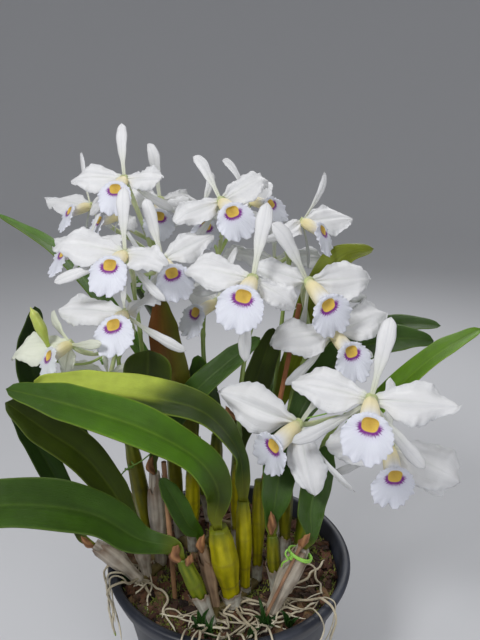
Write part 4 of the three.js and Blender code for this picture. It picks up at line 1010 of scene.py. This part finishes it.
def organ_skin(sheaf, shape, opened, phase, young):
    """One sepal or petal: its outline, its relief, its green base and midrib, and painted shade in its folds,
    along its midrib groove and at its margins.
    """
    flared = shape["kind"] == "petal"
    size = petal_form if flared else sepal_form
    grow = shape.get("grow", 1)
    form = {**shape, "length": size["length"] * grow, "lean": shape["lean"] + opened}
    rows, columns = (54, 31) if flared else (36, 15)
    t = np.linspace(0, 1, rows)
    u = np.linspace(-1, 1, columns)
    points, across, face = spine(form, t)
    down, edge = t[:, None], np.abs(u)
    width = eased(organ_width[shape["kind"]], np.minimum(down, 0.96))
    if flared:
        tail = shape.get("tail", 0.4 + 0.4 * np.sin(40 * phase))
        width = width * (1 - tail) + eased(organ_width["tailed"], np.minimum(down, 0.96)) * tail
        width = width * (1 + 0.13 * shape["side"] * np.sign(u) * np.sin(2 * np.pi * (1.1 * down - 0.15)))
    half = size["width"] / 2 * grow * shape.get("slim", 1) * width * round_tip(down, 0.0009)
    relief = petal_relief if flared else sepal_relief
    half, rise, shade, twist = relief(shape, half, t, u, phase)
    side = across * np.cos(twist) + face * np.sin(twist)
    front = face * np.cos(twist) - across * np.sin(twist)
    middle = points[:, None] + side[:, None] * (half * u)[..., None] + front[:, None] * rise[..., None]
    thick = size["thick"] * (0.42 + 0.58 * (1 - edge**2)) * np.clip((1.04 - down) / 0.2, 0.3, 1)
    flush = np.clip(1 - down / (0.16 if flared else 0.62), 0, 1) ** (1.0 if flared else 1.3)
    vein = np.exp(-((u / 0.08) ** 2)) * np.clip(1 - down / 0.7, 0, 1)
    tint = blended(petal_white, petal_green, np.clip(0.6 * flush + 0.22 * vein, 0, 1))
    # painted shade: grey in the folds, along the midrib groove and towards the margins
    tint = blended(tint, painted_shade_grey, 0.4 * edge**6 + shade)
    tint = blended(tint, young_green, young)
    blade_skin(sheaf, middle, thick, tint, tint, (size["width"] / 3, 6))


def lobe_form(a, down, side):
    """Round the lip at each angle: the lobe's reach, its waves, frill and creases, and the opening's edge."""
    notch = 1 - 0.08 * np.exp(-(((a - np.pi) / 0.1) ** 2))
    teeth = 23 * a + 1.4 * np.sin(3 * a)
    reach = lip["low"] * down + np.sqrt(lip["lobe"] ** 2 - (lip["low"] * side) ** 2)
    lobed = 0.016 * np.sin(teeth) + 0.014 * np.sin(17 * a + 2) + 0.012 * np.sin(31 * a + 0.5)
    fringe = 0.05 * (np.abs(np.sin(15 * a + 2.5 * np.sin(3 * a))) ** 0.6 - 0.7)
    reach = reach * notch * (1 + lobed + fringe + 0.01 * np.sin(43 * a + 2) + 0.016 * np.sin(9 * a))
    calm = 0.3 + 0.7 * np.clip((down + 0.9) / 1.1, 0, 1)
    waved = calm * (1.2 * np.sin(7 * a + 0.6) + 0.5 * np.sin(11 * a + 2))
    frill = calm * (0.7 * np.sin(teeth + 1.2) + 0.6 * np.sin(17 * a + 1) + 0.6 * np.sin(37 * a + 2))
    crease = np.sin(61 * a + 3 * np.sin(5 * a)) * (0.55 + 0.45 * np.sin(13 * a + 1))
    power = lip["squared"]
    wide = lip["opening"] / (np.abs(side) ** power + np.abs(down * 1.2) ** power) ** (1 / power)
    return reach, waved, frill, crease, wide


def tube_tint(s, a, down):
    """The colours round the tube's outside at a share of its length, cream to white with lilac streaks."""
    tint = blended(tube_cream, petal_green, np.clip(0.5 - 2.2 * s, 0, 1))
    tint = blended(tint, back_white, (0.15 + 0.85 * s**3) * (0.55 + 0.45 * np.abs(np.cos(a))))
    streak = np.clip((s - 0.6) / 0.4, 0, 1) * (0.5 + 0.5 * np.sin(31 * a)) * np.clip(down + 0.4, 0, 1)
    return blended(tint, lilac, 0.5 * streak)


def lobe_tint(f, a, down, away, crease):
    """The colours round the lobe's front: the violet band at the mouth, its rays, and painted shade in the
    creases.
    """
    ragged = 3.2 + 0.7 * np.sin(31 * a + 2 * np.sin(4 * a)) + 0.7 * np.sin(43 * a + 1 + np.sin(7 * a))
    low = np.clip((down + 0.34) / 0.4, 0, 1)
    band = np.clip(ragged * (0.5 + 0.5 * low) - away, 0, 1) * low
    ray = (0.5 + 0.5 * np.sin(39 * a + 2 * np.sin(5 * a))) ** 2 * np.clip(1 - away / 8, 0, 1) * low
    tint = blended(lip_white, lilac, np.clip(0.28 * ray + 0.12 * np.clip(1 - away / 9, 0, 1) * low, 0, 1))
    # painted shade in the creases, stronger towards the lobe's edge
    tint = blended(tint, painted_pleat_shade, (0.12 + 0.12 * crease) * np.clip((f - 0.25) / 0.5, 0, 1))
    return blended(tint, violet, band)


def lip_skin(sheaf, young):
    """The lip as one closed skin of rings: tube, back of the lobe, frilled front of the lobe and throat."""
    sides = lip["sides"]
    a = (np.arange(sides) + 0.5) / sides * 2 * np.pi
    drop, recline = np.radians([lip["drop"], lip["recline"]])
    axis = np.array([0, -np.cos(drop), -np.sin(drop)])
    up = np.array([0, -np.sin(drop), np.cos(drop)])
    face = axis * np.cos(recline) + up * np.sin(recline)
    high = up * np.cos(recline) - axis * np.sin(recline)
    down, side = -np.cos(a), np.sin(a)
    reach, waved, frill, crease, wide = lobe_form(a, down, side)
    rings, tints, heights = [], [], []

    def ring(centre, tall, way, depth, radius, tint):
        across = np.stack([side * radius, 0 * side, 0 * side], -1)
        rings.append(across + centre + tall * (np.cos(a) * radius)[:, None] + way * (depth + 0 * a)[:, None])
        tints.append(tint)
        heights.append(np.mean(radius))

    def lobe_depth(f):
        return -1 + 3.6 * f - 3.6 * f**2 + waved * f**2.6 + frill * f**7

    mouth = axis * lip["tube"]
    for s in np.linspace(0, 0.96, 14):
        bent = s * s * (3 - 2 * s)
        tall, way = unit(up + (high - up) * bent), unit(axis + (face - axis) * bent)
        radius = lip["base"] + (lip["mouth"] - lip["base"]) * s**0.7 + 0.7 * np.sin(np.pi * s)
        seam = 1 - 0.09 * np.exp(-((np.minimum(a, 2 * np.pi - a) / 0.2) ** 2)) * s
        ring(mouth * s, tall, way, -4 * bent, radius * seam, tube_tint(s, a, down))
    for f in lobe_shares[1::2]:
        radius = lip["mouth"] + (reach - lip["mouth"]) * f
        tint = blended(back_white, petal_white, np.full(sides, f))
        ring(mouth, high, face, lobe_depth(f) - 0.5 - 2.5 * (1 - f) ** 3, radius, tint)
    for f in lobe_shares[::-1]:
        away = (reach - wide) * f
        pleats = 0.09 * crease * np.clip(f / 0.3, 0, 1)
        ring(mouth, high, face, lobe_depth(f) + pleats, wide + away, lobe_tint(f, a, down, away, crease))
    rim_low = np.clip((down + 0.3) / 0.4, 0, 1)
    ring(mouth, high, face, -1.0, wide * 0.97, blended(throat_gold, violet, rim_low * 0.9))
    # the gold darkens deeper in and towards the top, under the tube's roof, as painted shade, and in brown
    # veins round the throat
    for share, depth, deep in throat:
        streak = np.clip(deep * (1 + 0.8 * np.sin(21 * a)) + 0.35 * np.clip(-down, 0, 1) * share, 0, 1)
        gold = blended(throat_gold, throat_veins_and_shade, streak)
        ring(mouth, high, face, depth + 0.9 * down * share, wide * share, gold)
    count = len(rings)
    points = np.concatenate([*rings, [axis * 0.0], [mouth - face * lip["deep"]]])
    faces, last = grid_faces(count, sides, around=True, flip=True), count * sides
    faces += closed_ends(sides, last, 0, last + 1, last - sides, flip=True)
    tint = np.concatenate([*tints, tints[0][:1], tints[-1][:1]])
    tint = blended(tint, tint * [0.96, 1.0, 0.82, 1], young)
    u = np.tile(np.arange(sides) / sides * 36, count)
    v = np.repeat(np.cumsum(np.abs(np.gradient(heights))) / 6, sides)
    sheaf.lay(points, faces, tint, np.concatenate([np.stack([u, v], -1), [[0, 0], [0, 0]]]))


def bloom_skin(bloom, index):
    """A whole bloom: its five organs, its lip, and the neck behind them that its stalk runs into."""
    phase, young = (index * 0.37) % 1, bloom.get("young", 0)
    skin = Sheaf()
    for k, (name, shape) in enumerate(organs.items()):
        organ_skin(skin, {**shape, **bloom.get(name, {})}, bloom.get("open", 0), phase + 0.3 * k, young)
    lip_skin(skin, young)
    s, over = np.linspace(0, 1, neck["steps"])[:, None], np.ones((1, neck["sides"]))
    narrow = neck["radius"] + (neck["thin"] - neck["radius"]) * s**0.7
    middle = neck_way * (-neck["sunk"] + (neck["length"] + neck["sunk"]) * s)
    round_skin(skin, middle, narrow * over, blended(petal_green, collar_green, s * over))
    size, place = bloom.get("size", 1), np.array(bloom["place"])
    skin.points = [part @ turned_by(bloom).T * size + place for part in skin.points]
    return skin


bloom_flesh = grained("bloom_flesh", 0.55, 0.5, 2.2, 0.7, 0.0007, mottle=0.04)
bloom_flesh.set({"Subsurface Weight": 0.12, "Subsurface Radius": (1.0, 1.0, 0.95)})
bloom_flesh.set({"Subsurface Scale": 0.002, "Sheen Weight": 0.1})
for index, bloom in enumerate(blooms):
    piece = bloom_skin(bloom, index).bound(f"open_bloom_{index + 1:02}", bloom_flesh)
    settle(piece, "petal", f"bloom_{index + 1:02}")

# Flower stems
# A firm green stalk rises from the top of its pseudobulb, and each bloom hangs on its own paler stalk, whose
# upper half is the ribbed ovary. The stalks bend back so that the blooms face outwards.
stems = {
    "top_left": {"bulb": "b1", "set": -2.6, "route": [(-68, 58, 340), (-78, 100, 430), (-84, 122, 470)]},
    "mid_left": {"bulb": "l3", "route": [(-84, 30, 320), (-92, 46, 400), (-96, 50, 426)]},
    "low_left": {"bulb": "l4", "route": [(-108, 34, 310), (-112, 40, 340), (-112, 36, 364)]},
    "top_middle": {"bulb": "b3", "route": [(-28, 72, 340), (-22, 108, 420), (-4, 126, 456)]},
    "middle": {"bulb": "b4", "set": -2.6, "route": [(11, 12, 320), (17, 28, 362), (24, 38, 390)]},
    "right": {"bulb": "r4", "route": [(64, 34, 310), (78, 46, 350), (84, 46, 376)]},
    "top_right": {"bulb": "r5", "route": [(54, 84, 350), (62, 104, 420), (66, 106, 444)]},
    "low_right": {"bulb": "r3", "set": -2.6, "route": [(94, 0, 276), (104, -4, 296), (112, -10, 312)]},
}
stalk_form = {"steps": 160, "rise": 16, "girth": 2.8, "taper": 0.8, "joint": 0.5, "joint_width": 0.012}
stalk_joints = (0.22, 0.5, 0.74)
bloom_stalk = {"top": 0.98, "apart": 0.09, "steps": 40, "girth": 1.6, "ovary": 1.1, "collar": 0.35}
stalk_green, stalk_pale, ovary_pale = colour(104, 132, 52), colour(168, 188, 104), colour(214, 222, 172)

strand = Rule("round_strand", {"Step": "Float", "Sides": "Int", "Uneven": "Float", "Grain": "Float"})
run = strand.add("GeometryNodeMeshToCurve", {"Mesh": strand.sizes["Geometry"]})
paced = strand.add(
    "GeometryNodeResampleCurve",
    {"Curve": run.outputs["Curve"], "Length": strand.sizes["Step"]},
    mode="LENGTH",
)
girth = strand.add("GeometryNodeInputNamedAttribute", {"Name": "girth"}, data_type="FLOAT")
bumps = strand.add("ShaderNodeTexNoise", {"Scale": strand.sizes["Grain"], "Detail": 2.0})
uneven = {0: 1.0, 1: strand.sizes["Uneven"]}
spread = {"Value": bumps.outputs["Fac"], "From Min": 0.3, "From Max": 0.7}
spread["To Min"] = strand.add("ShaderNodeMath", uneven, operation="SUBTRACT").outputs["Value"]
spread["To Max"] = strand.add("ShaderNodeMath", uneven, operation="ADD").outputs["Value"]
swell = strand.add("ShaderNodeMapRange", spread)
radius = strand.add(
    "ShaderNodeMath", {0: girth.outputs["Attribute"], 1: swell.outputs["Result"]}, operation="MULTIPLY"
)
round_sizes = {"Resolution": strand.sizes["Sides"], "Radius": 1.0}
round_edge = strand.add("GeometryNodeCurvePrimitiveCircle", round_sizes)
skin = strand.add(
    "GeometryNodeCurveToMesh",
    {
        "Curve": paced.outputs["Curve"],
        "Profile Curve": round_edge.outputs["Curve"],
        "Scale": radius.outputs["Value"],
        "Fill Caps": True,
    },
)
strand.end(skin.outputs["Mesh"])


def strand_piece(name, runs, finish, step=1.2, sides=14, uneven=0.05, grain=260.0):
    """Round strands along lines in millimetres, each with a girth and a colour at every point."""
    points, edges, girths, tints = [], [], [], []
    for line, girth, tint in runs:
        start = len(points)
        points += list(line)
        edges += [(start + k, start + k + 1) for k in range(len(line) - 1)]
        if np.allclose(line[0], line[-1]):
            points.pop()
            edges[-1] = (start + len(line) - 2, start)
        girths += list((girth * np.ones(len(line)))[: len(points) - start] * MM)
        tints += list((np.array(tint) * np.ones((len(line), 1)))[: len(points) - start])
    mesh = bpy.data.meshes.new(name)
    mesh.from_pydata(np.array(points) * MM, edges, [])
    mesh.attributes.new("girth", "FLOAT", "POINT").data.foreach_set("value", girths)
    mesh.attributes.new("tint", "FLOAT_COLOR", "POINT").data.foreach_set("color", np.ravel(tints))
    source = bpy.data.objects.new(name + "_lines", mesh)
    bpy.context.scene.collection.objects.link(source)
    sizes = {"Step": step * MM, "Sides": sides, "Uneven": uneven, "Grain": grain}
    return strand.grow(source, name, sizes, finish)


def bent(points, steps):
    """A cubic bend through its first and last point, drawn by the two between."""
    a, b, c, d = np.array(points, float)
    t = np.linspace(0, 1, steps)[:, None]
    return a * (1 - t) ** 3 + b * 3 * t * (1 - t) ** 2 + c * 3 * t**2 * (1 - t) + d * t**3


stalk_flesh = grained("stalk_flesh", 0.42, 1.0, 1.0, 0.2, 0.0003, mottle=0.14, coat=0.15)
stalk_flesh.set({"Subsurface Weight": 0.1, "Subsurface Scale": 0.002})
for side, stem in stems.items():
    foot, rise = bulb_seat(stem["bulb"], stem.get("set", 2.8))
    line = smooth_line([foot, foot + rise * stalk_form["rise"], *stem["route"]])
    share = np.linspace(0, 1, stalk_form["steps"])
    joints = sum(np.exp(-(((share - place) / stalk_form["joint_width"]) ** 2)) for place in stalk_joints)
    girth = stalk_form["girth"] - stalk_form["taper"] * share + stalk_form["joint"] * joints
    runs = [(at_shares(line, share), girth, blended(stalk_green, stalk_pale, share))]
    carried = [bloom for bloom in blooms if bloom["stem"] == side]
    top_way = unit(at_shares(line, [0.96])[0] - at_shares(line, [0.94])[0])
    for i, bloom in enumerate(carried):
        down_the_stalk = bloom_stalk["apart"] * (len(carried) - 1 - i)
        leaves_at = at_shares(line, [bloom_stalk["top"] - down_the_stalk])[0]
        back = turned_by(bloom) @ neck_way
        hangs = np.array(bloom["place"]) + back * (neck["length"] * bloom.get("size", 1) - 1.2)
        reach = np.linalg.norm(hangs - leaves_at)
        path = [leaves_at, leaves_at + top_way * 0.3 * reach, hangs + back * 0.45 * reach, hangs]
        line_out = bent(path, bloom_stalk["steps"])
        t = np.linspace(0, 1, bloom_stalk["steps"])
        girth = bloom_stalk["girth"] + bloom_stalk["ovary"] * t
        girth = girth + bloom_stalk["collar"] * np.exp(-((t / 0.06) ** 2))
        runs.append((line_out, girth, blended(stalk_pale, ovary_pale, np.clip(t * 1.3, 0, 1))))
    settle(strand_piece(f"flower_stem_{side}", runs, stalk_flesh), "flower_stem", f"stem_{side}")

# Aerial roots
# Silvery corky roots leave the feet of the outer pseudobulbs, cross the mix and hang down over the pot's
# rim, with a green growing tip. Shorter ones lie among the bark.
cork, cork_old, root_tip = colour(206, 196, 172), colour(168, 156, 130), colour(150, 172, 84)
over_rim = [(109.5, 149), (115.5, 152.8), (125.4, 152.6), (128, 147), (128, 138)]
root_girth, short_girth, root_tangle, hanging = 1.15, 1.1, 34, (125, 127, 126)
long_roots = [("f1", 258, 108), ("f3", 282, 96), ("l2", 206, 92), ("l1", 192, 76), ("r2", 320, 84)]
short_roots = [
    ("f1", 236, 70, 60), ("f2", 250, 88, 20), ("f3", 300, 96, 14), ("f4", 268, 92, 16),
    ("l1", 222, 100, 10), ("l4", 168, 104, 30), ("r1", 296, 104, -16), ("r2", 336, 100, 24),
    ("r3", 352, 104, -20), ("f5", 262, 60, 30),
]
tangle = {"f1": 250, "f2": 262, "f3": 275, "r1": 300, "r2": 318, "l1": 196, "l2": 208}
tangle_pale = colour(216, 208, 186)


def outwards(angle, radius, height):
    """A point at an angle and a radius from the pot's middle line."""
    return np.array([np.cos(angle) * radius, np.sin(angle) * radius, height])


cork_skin = grained("root_cork", 0.8, 1.0, 1.0, 0.3, 0.0004, mottle=0.2)
runs = []
for name, bearing, drop in long_roots:
    a = np.radians(bearing)
    path = [foot_of(all_bulbs[name]), *[outwards(a, r, z) for r, z in over_rim]]
    path.append(outwards(a, hanging[0], drop))
    t = np.linspace(0, 1, 120)
    tint = blended(blended(cork_old, cork, t), root_tip, np.clip((t - 0.93) / 0.05, 0, 1))
    runs.append((at_shares(smooth_line(path), t), root_girth * np.clip((1.03 - t) / 0.06, 0.3, 1), tint))
for name, bearing, far, swing in short_roots:
    start = foot_of(all_bulbs[name], 1)
    a, b = np.radians([bearing, bearing + swing])
    middle = outwards(a, far * 0.82, 140)
    line = smooth_line([start, start * 0.5 + middle * 0.5 + [0, 0, 4], middle, outwards(b, far, 137)])
    t = np.linspace(0, 1, 60)
    girth = short_girth * np.clip((1.02 - t) / 0.08, 0.4, 1)
    runs.append((at_shares(line, t), girth, blended(cork_old, cork, t)))
chance = np.random.default_rng(7)
for k in range(root_tangle):
    name = list(tangle)[k % len(tangle)]
    a = np.radians(tangle[name] + chance.uniform(-26, 26, 3))
    near, far = chance.uniform(78, 98), chance.uniform(98, 109)
    path = [foot_of(all_bulbs[name]), outwards(a[0], near, chance.uniform(135, 141))]
    path.append(outwards(a[1], far, chance.uniform(135, 143)))
    if k % 3 == 0:
        path += [outwards(a[1], r, z) for r, z in over_rim[:3]]
        path.append(outwards(a[1], hanging[1], chance.uniform(132, 142)))
        path.append(outwards(a[2], hanging[2], chance.uniform(84, 126)))
    t = np.linspace(0, 1, 80)
    girth = chance.uniform(0.55, 0.95) * np.clip((1.02 - t) / 0.08, 0.4, 1)
    runs.append((at_shares(smooth_line(path), t), girth, blended(cork_old, tangle_pale, t)))
for k, (line, girth, tint) in enumerate(runs):
    s = np.linspace(0, 1, len(line))[:, None]
    bend = np.concatenate([np.sin(17 * s + k), np.cos(13 * s + 2 * k), 0.5 * np.sin(23 * s + 3 * k)], 1)
    runs[k] = (line + bend * 1.6 * np.sin(np.pi * s) ** 0.5, girth, tint)
settle(strand_piece("aerial_roots", runs, cork_skin, sides=12, uneven=0.12, grain=180.0), "pseudobulb")

# Spathes, seedlings and buds
# Dry brown spathes wrap the feet of leaves and stalks, a few seedlings stand in the mix, a yellow-green bud
# hangs beside the lowest bloom on the left, and thin green tendrils curl round the growths.
spathe_tones = (colour(120, 78, 48), colour(170, 122, 80))
spathes = [
    ((-41, -86, 203), (-46, -89, 214), (-43, -87, 224), 12),
    ((-36, -88, 202), (-33, -92, 210), (-31, -90, 217), 8),
    ((-24, -62, 195), (-25, -64, 205), (-22, -61, 215), 9),
    ((41, -46, 203), (42, -49, 216), (40, -46, 229), 9),
    ((-166, -21, 232), (-172, -25, 243), (-180, -25, 253), 6), ((9, 8, 296), (2, 5, 304), (-3, 4, 314), 6),
    ((66, -66, 202), (70, -69, 212), (75, -66, 220), 9),
    ((-91, -28, 180), (-96, -30, 190), (-98, -28, 198), 8),
    ((-75, 0, 240), (-79, -3, 250), (-76, -1, 262), 8),
    ((-132, -27, 174), (-140, -30, 180), (-146, -28, 188), 8),
]
seedling_tones = (colour(24, 52, 18), colour(48, 88, 30))
seedlings = [(-26, -90, 9, 26), (-18, -98, 6, 18), (34, -86, 9, 24), (56, -84, 7, 18)]
seedlings += [(-102, -24, 7, 20), (20, -98, 6, 16)]


def leaflet(sheaf, points, width, tones, fold, number):
    """A small pointed blade, folded along its middle, that runs through points in millimetres."""
    t = np.linspace(0, 1, 18)
    u = np.linspace(-1, 1, 9)
    down = t[:, None]
    half = width / 2 * eased([(0, 0.45), (0.35, 1), (0.75, 0.66), (1, 0.05)], down)
    rise = half * fold * np.abs(u) ** 1.3 + 0.3 * np.sin(14 * down + number) * u**2
    middle = blade_points(at_shares(smooth_line(points, 12), t), [0.15, -1.0, 0.3], half * u, rise)
    tint = blended(*tones, 0.5 + 0.5 * np.sin(5 * u + 7 * down + number))
    blade_skin(sheaf, middle, 0.5 * np.ones_like(rise), tint, tint, (3, 8))


dry_sheath = grained("dry_sheath", 0.75, 0.8, 3.0, 0.7, 0.0008, mottle=0.3)
sheaf = Sheaf()
for number, (foot, bow, tip, width) in enumerate(spathes):
    leaflet(sheaf, [foot, bow, tip], width, spathe_tones, -0.9, number)
settle(sheaf.bound("dry_spathes", dry_sheath), "pseudobulb")

sheaf = Sheaf()
for number, (x, y, count, tall) in enumerate(seedlings):
    for k in range(count):
        bearing = 2.4 * k + number
        reach = tall * (0.3 + 0.25 * np.sin(3 * k + number))
        way = np.array([np.cos(bearing), np.sin(bearing), 0])
        height = tall * (0.62 + 0.38 * np.cos(2 * k))
        foot = np.array([x, y, 132.0]) + way * 1.2
        points = [foot, foot + way * reach * 0.4 + [0, 0, height * 0.7], foot + way * reach + [0, 0, height]]
        leaflet(sheaf, points, 4.4, seedling_tones, 0.4, number + k)
settle(sheaf.bound("mix_seedlings", leaf_flesh), "leaf")

bud = {"girth": 5.2, "ridge": 0.07, "steps": 40, "sides": 30}
bud_swell = [(0, 0.36), (0.5, 1), (0.8, 0.8), (1, 0.1)]
bud_tones = (colour(168, 188, 72), colour(204, 214, 110))
fresh_tones = (colour(96, 140, 30), colour(140, 180, 60))
sheaf = Sheaf()
t = np.linspace(0, 1, bud["steps"])
bud_line = at_shares(smooth_line([(-166, -8, 380), (-170, -11, 398), (-178, -10, 418)]), t)
bud_radii = bud["girth"] * eased(bud_swell, t)[:, None]
bud_radii = bud_radii * (1 + bud["ridge"] * np.cos(3 * all_round(bud["sides"])))
round_skin(sheaf, bud_line, bud_radii, blended(*bud_tones, t[:, None] * np.ones_like(bud_radii)))
leaflet(sheaf, [(66, 104, 444), (60, 98, 456), (50, 98, 466)], 6, fresh_tones, 0.4, 2)
settle(sheaf.bound("green_buds", stalk_flesh), "flower_stem")


def curl(start, end, turns, radius):
    """A tendril that winds round the way from its start to its end, wider as it goes."""
    start, end = np.array(start, float), np.array(end, float)
    way = unit(end - start)
    side = unit(np.cross(way, [0.3, 0.2, 1.0]))
    t = np.linspace(0, 1, 70)
    angle = 2 * np.pi * turns * t[:, None]
    wind = side * np.cos(angle) + np.cross(way, side) * np.sin(angle)
    return start + (end - start) * t[:, None] + (wind - side) * radius * t[:, None] ** 0.7


bud_stalk = smooth_line([(-113, 35, 362), (-140, 20, 352), (-166, 4, 362), (-167, -7, 382)])
held = smooth_line([(-127, 6, 212), (-116, 6, 228), (-104, 7, 242), (-90, 8, 250), (-76, 8, 262)])
held_green, free_green = colour(120, 158, 64), colour(118, 160, 62)
runs = [(bud_stalk, 1.3, stalk_pale), (held, 0.7, held_green)]
runs.append((curl((-108, 7, 239), (-97, 8, 247), 3, 3.2), 0.8, held_green))
runs.append((curl((-127, 6, 212), (-130, 4, 200), 1.2, 3), 0.6, held_green))
tendrils = [((-113, 34, 360), (-130, 12, 359)), ((-95, 48, 428), (-84, 28, 438))]
tendrils += [((-96, 46, 424), (-78, 30, 424))]
runs += [(curl(start, end, 1.6, 5), 0.9, free_green) for start, end in tendrils]
settle(strand_piece("curled_tendrils", runs, stalk_flesh, step=0.8, sides=10), "flower_stem")

# Canes
# Two long canes and a short one, split from red-brown wood and pushed into the mix, hold up the heaviest
# growths.
canes = {
    "left": ((-50, -50, 60), (-58, -50, 284), 2.4),
    "middle": ((10, 32, 60), (68, 22, 412), 2.4),
    "right": ((20, -87, 110), (66, -69, 208), 1.6),
}
cane_tones = {
    "left": (colour(142, 102, 72), colour(172, 130, 92)),
    "middle": (colour(166, 98, 62), colour(196, 128, 86)),
    "right": (colour(136, 100, 76), colour(166, 128, 98)),
}
cane_knot = {"count": 5, "first": 0.6, "width": 0.02, "swell": 0.06}
cane_wood = grained("cane_wood", 0.7, 1.0, 1.0, 0.4, 0.0004, mottle=0.25)
for side, (foot, head, girth) in canes.items():
    t = np.linspace(0, 1, 60)[:, None]
    line = np.array(foot) * (1 - t) + np.array(head) * t
    from_knot = (t[:, 0] * cane_knot["count"] - cane_knot["first"]) % 1 - 0.5
    swollen = 1 + cane_knot["swell"] * np.exp(-((from_knot / cane_knot["width"]) ** 2))
    runs = [(line, girth * swollen, blended(*cane_tones[side], 0.5 + 0.5 * np.sin(19 * t[:, 0])))]
    piece = strand_piece(f"split_cane_{side}", runs, cane_wood, sides=16, uneven=0.03)
    settle(piece, "cane", f"cane_{side}")

# Ties
# Two turns of soft light green plastic string, knotted in front, hold the short cane to an old pseudobulb.
# A thinner string is stretched tight behind the low blooms and looped round a stalk at each end.
tie = {"place": (66.5, -64, 196), "axis": (0.4, 0.15, 0.9), "wide": 11.2, "deep": 10.4, "girth": 1.2}
tie |= {"knot": (-9.4, -6.2, 0.8), "knot_girth": 1.1, "end_girth": 0.8, "thin_girth": 0.7}
string_green, thin_green = colour(150, 206, 84), colour(150, 196, 90)
soft_string = grained("soft_string", 0.35, 1.0, 1.0, 0.1, 0.0002, mottle=0.06)
soft_string.set({"Subsurface Weight": 0.1, "Subsurface Scale": 0.001})
axis = unit(np.array(tie["axis"], float))
across = unit(np.cross(axis, [0, 1, 0]))
turn = np.linspace(0, 4 * np.pi, 145)
loop = across * np.cos(turn)[:, None] * tie["wide"]
loop = loop + np.cross(axis, across) * np.sin(turn)[:, None] * tie["deep"]
loop = np.array(tie["place"]) + loop + axis * (0.9 * np.sin(turn / 2))[:, None]
runs = [(loop[:-1], tie["girth"], string_green)]
knot = np.array(tie["place"]) + tie["knot"]
short_end = [(0, 0, 0), (-3, -4, 3), (-5, -3, 7), (-3, -1, 10)]
long_end = [(0, 0, 0), (-4, -3, -1), (-7, -2, -4), (-8, -1, -9)]
for ends in (short_end, long_end):
    runs.append((smooth_line(knot + np.array(ends, float)), tie["end_girth"], string_green))


def small_loop(wide, deep, rise):
    """One turn of string round a point."""
    half = turn[:-1] / 2
    return np.stack([wide * np.cos(half), deep * np.sin(half), rise * np.sin(2 * half)], -1)


runs.append((knot + small_loop(1.5, 1.4, 1.2), tie["knot_girth"], string_green))
settle(strand_piece("green_tie", runs, soft_string, sides=12, uneven=0.02), "tie", "tie")

stretched = smooth_line([(12.5, 8, 293), (40, -6, 299), (80, -12, 310), (110, -9, 317)])
round_stalks = [end + small_loop(2.9, 2.9, 0.4) for end in (stretched[0], stretched[-1])]
runs = [(line, tie["thin_girth"], thin_green) for line in (stretched, *round_stalks)]
settle(strand_piece("stretched_tie", runs, soft_string, sides=8, uneven=0.02), "tie")
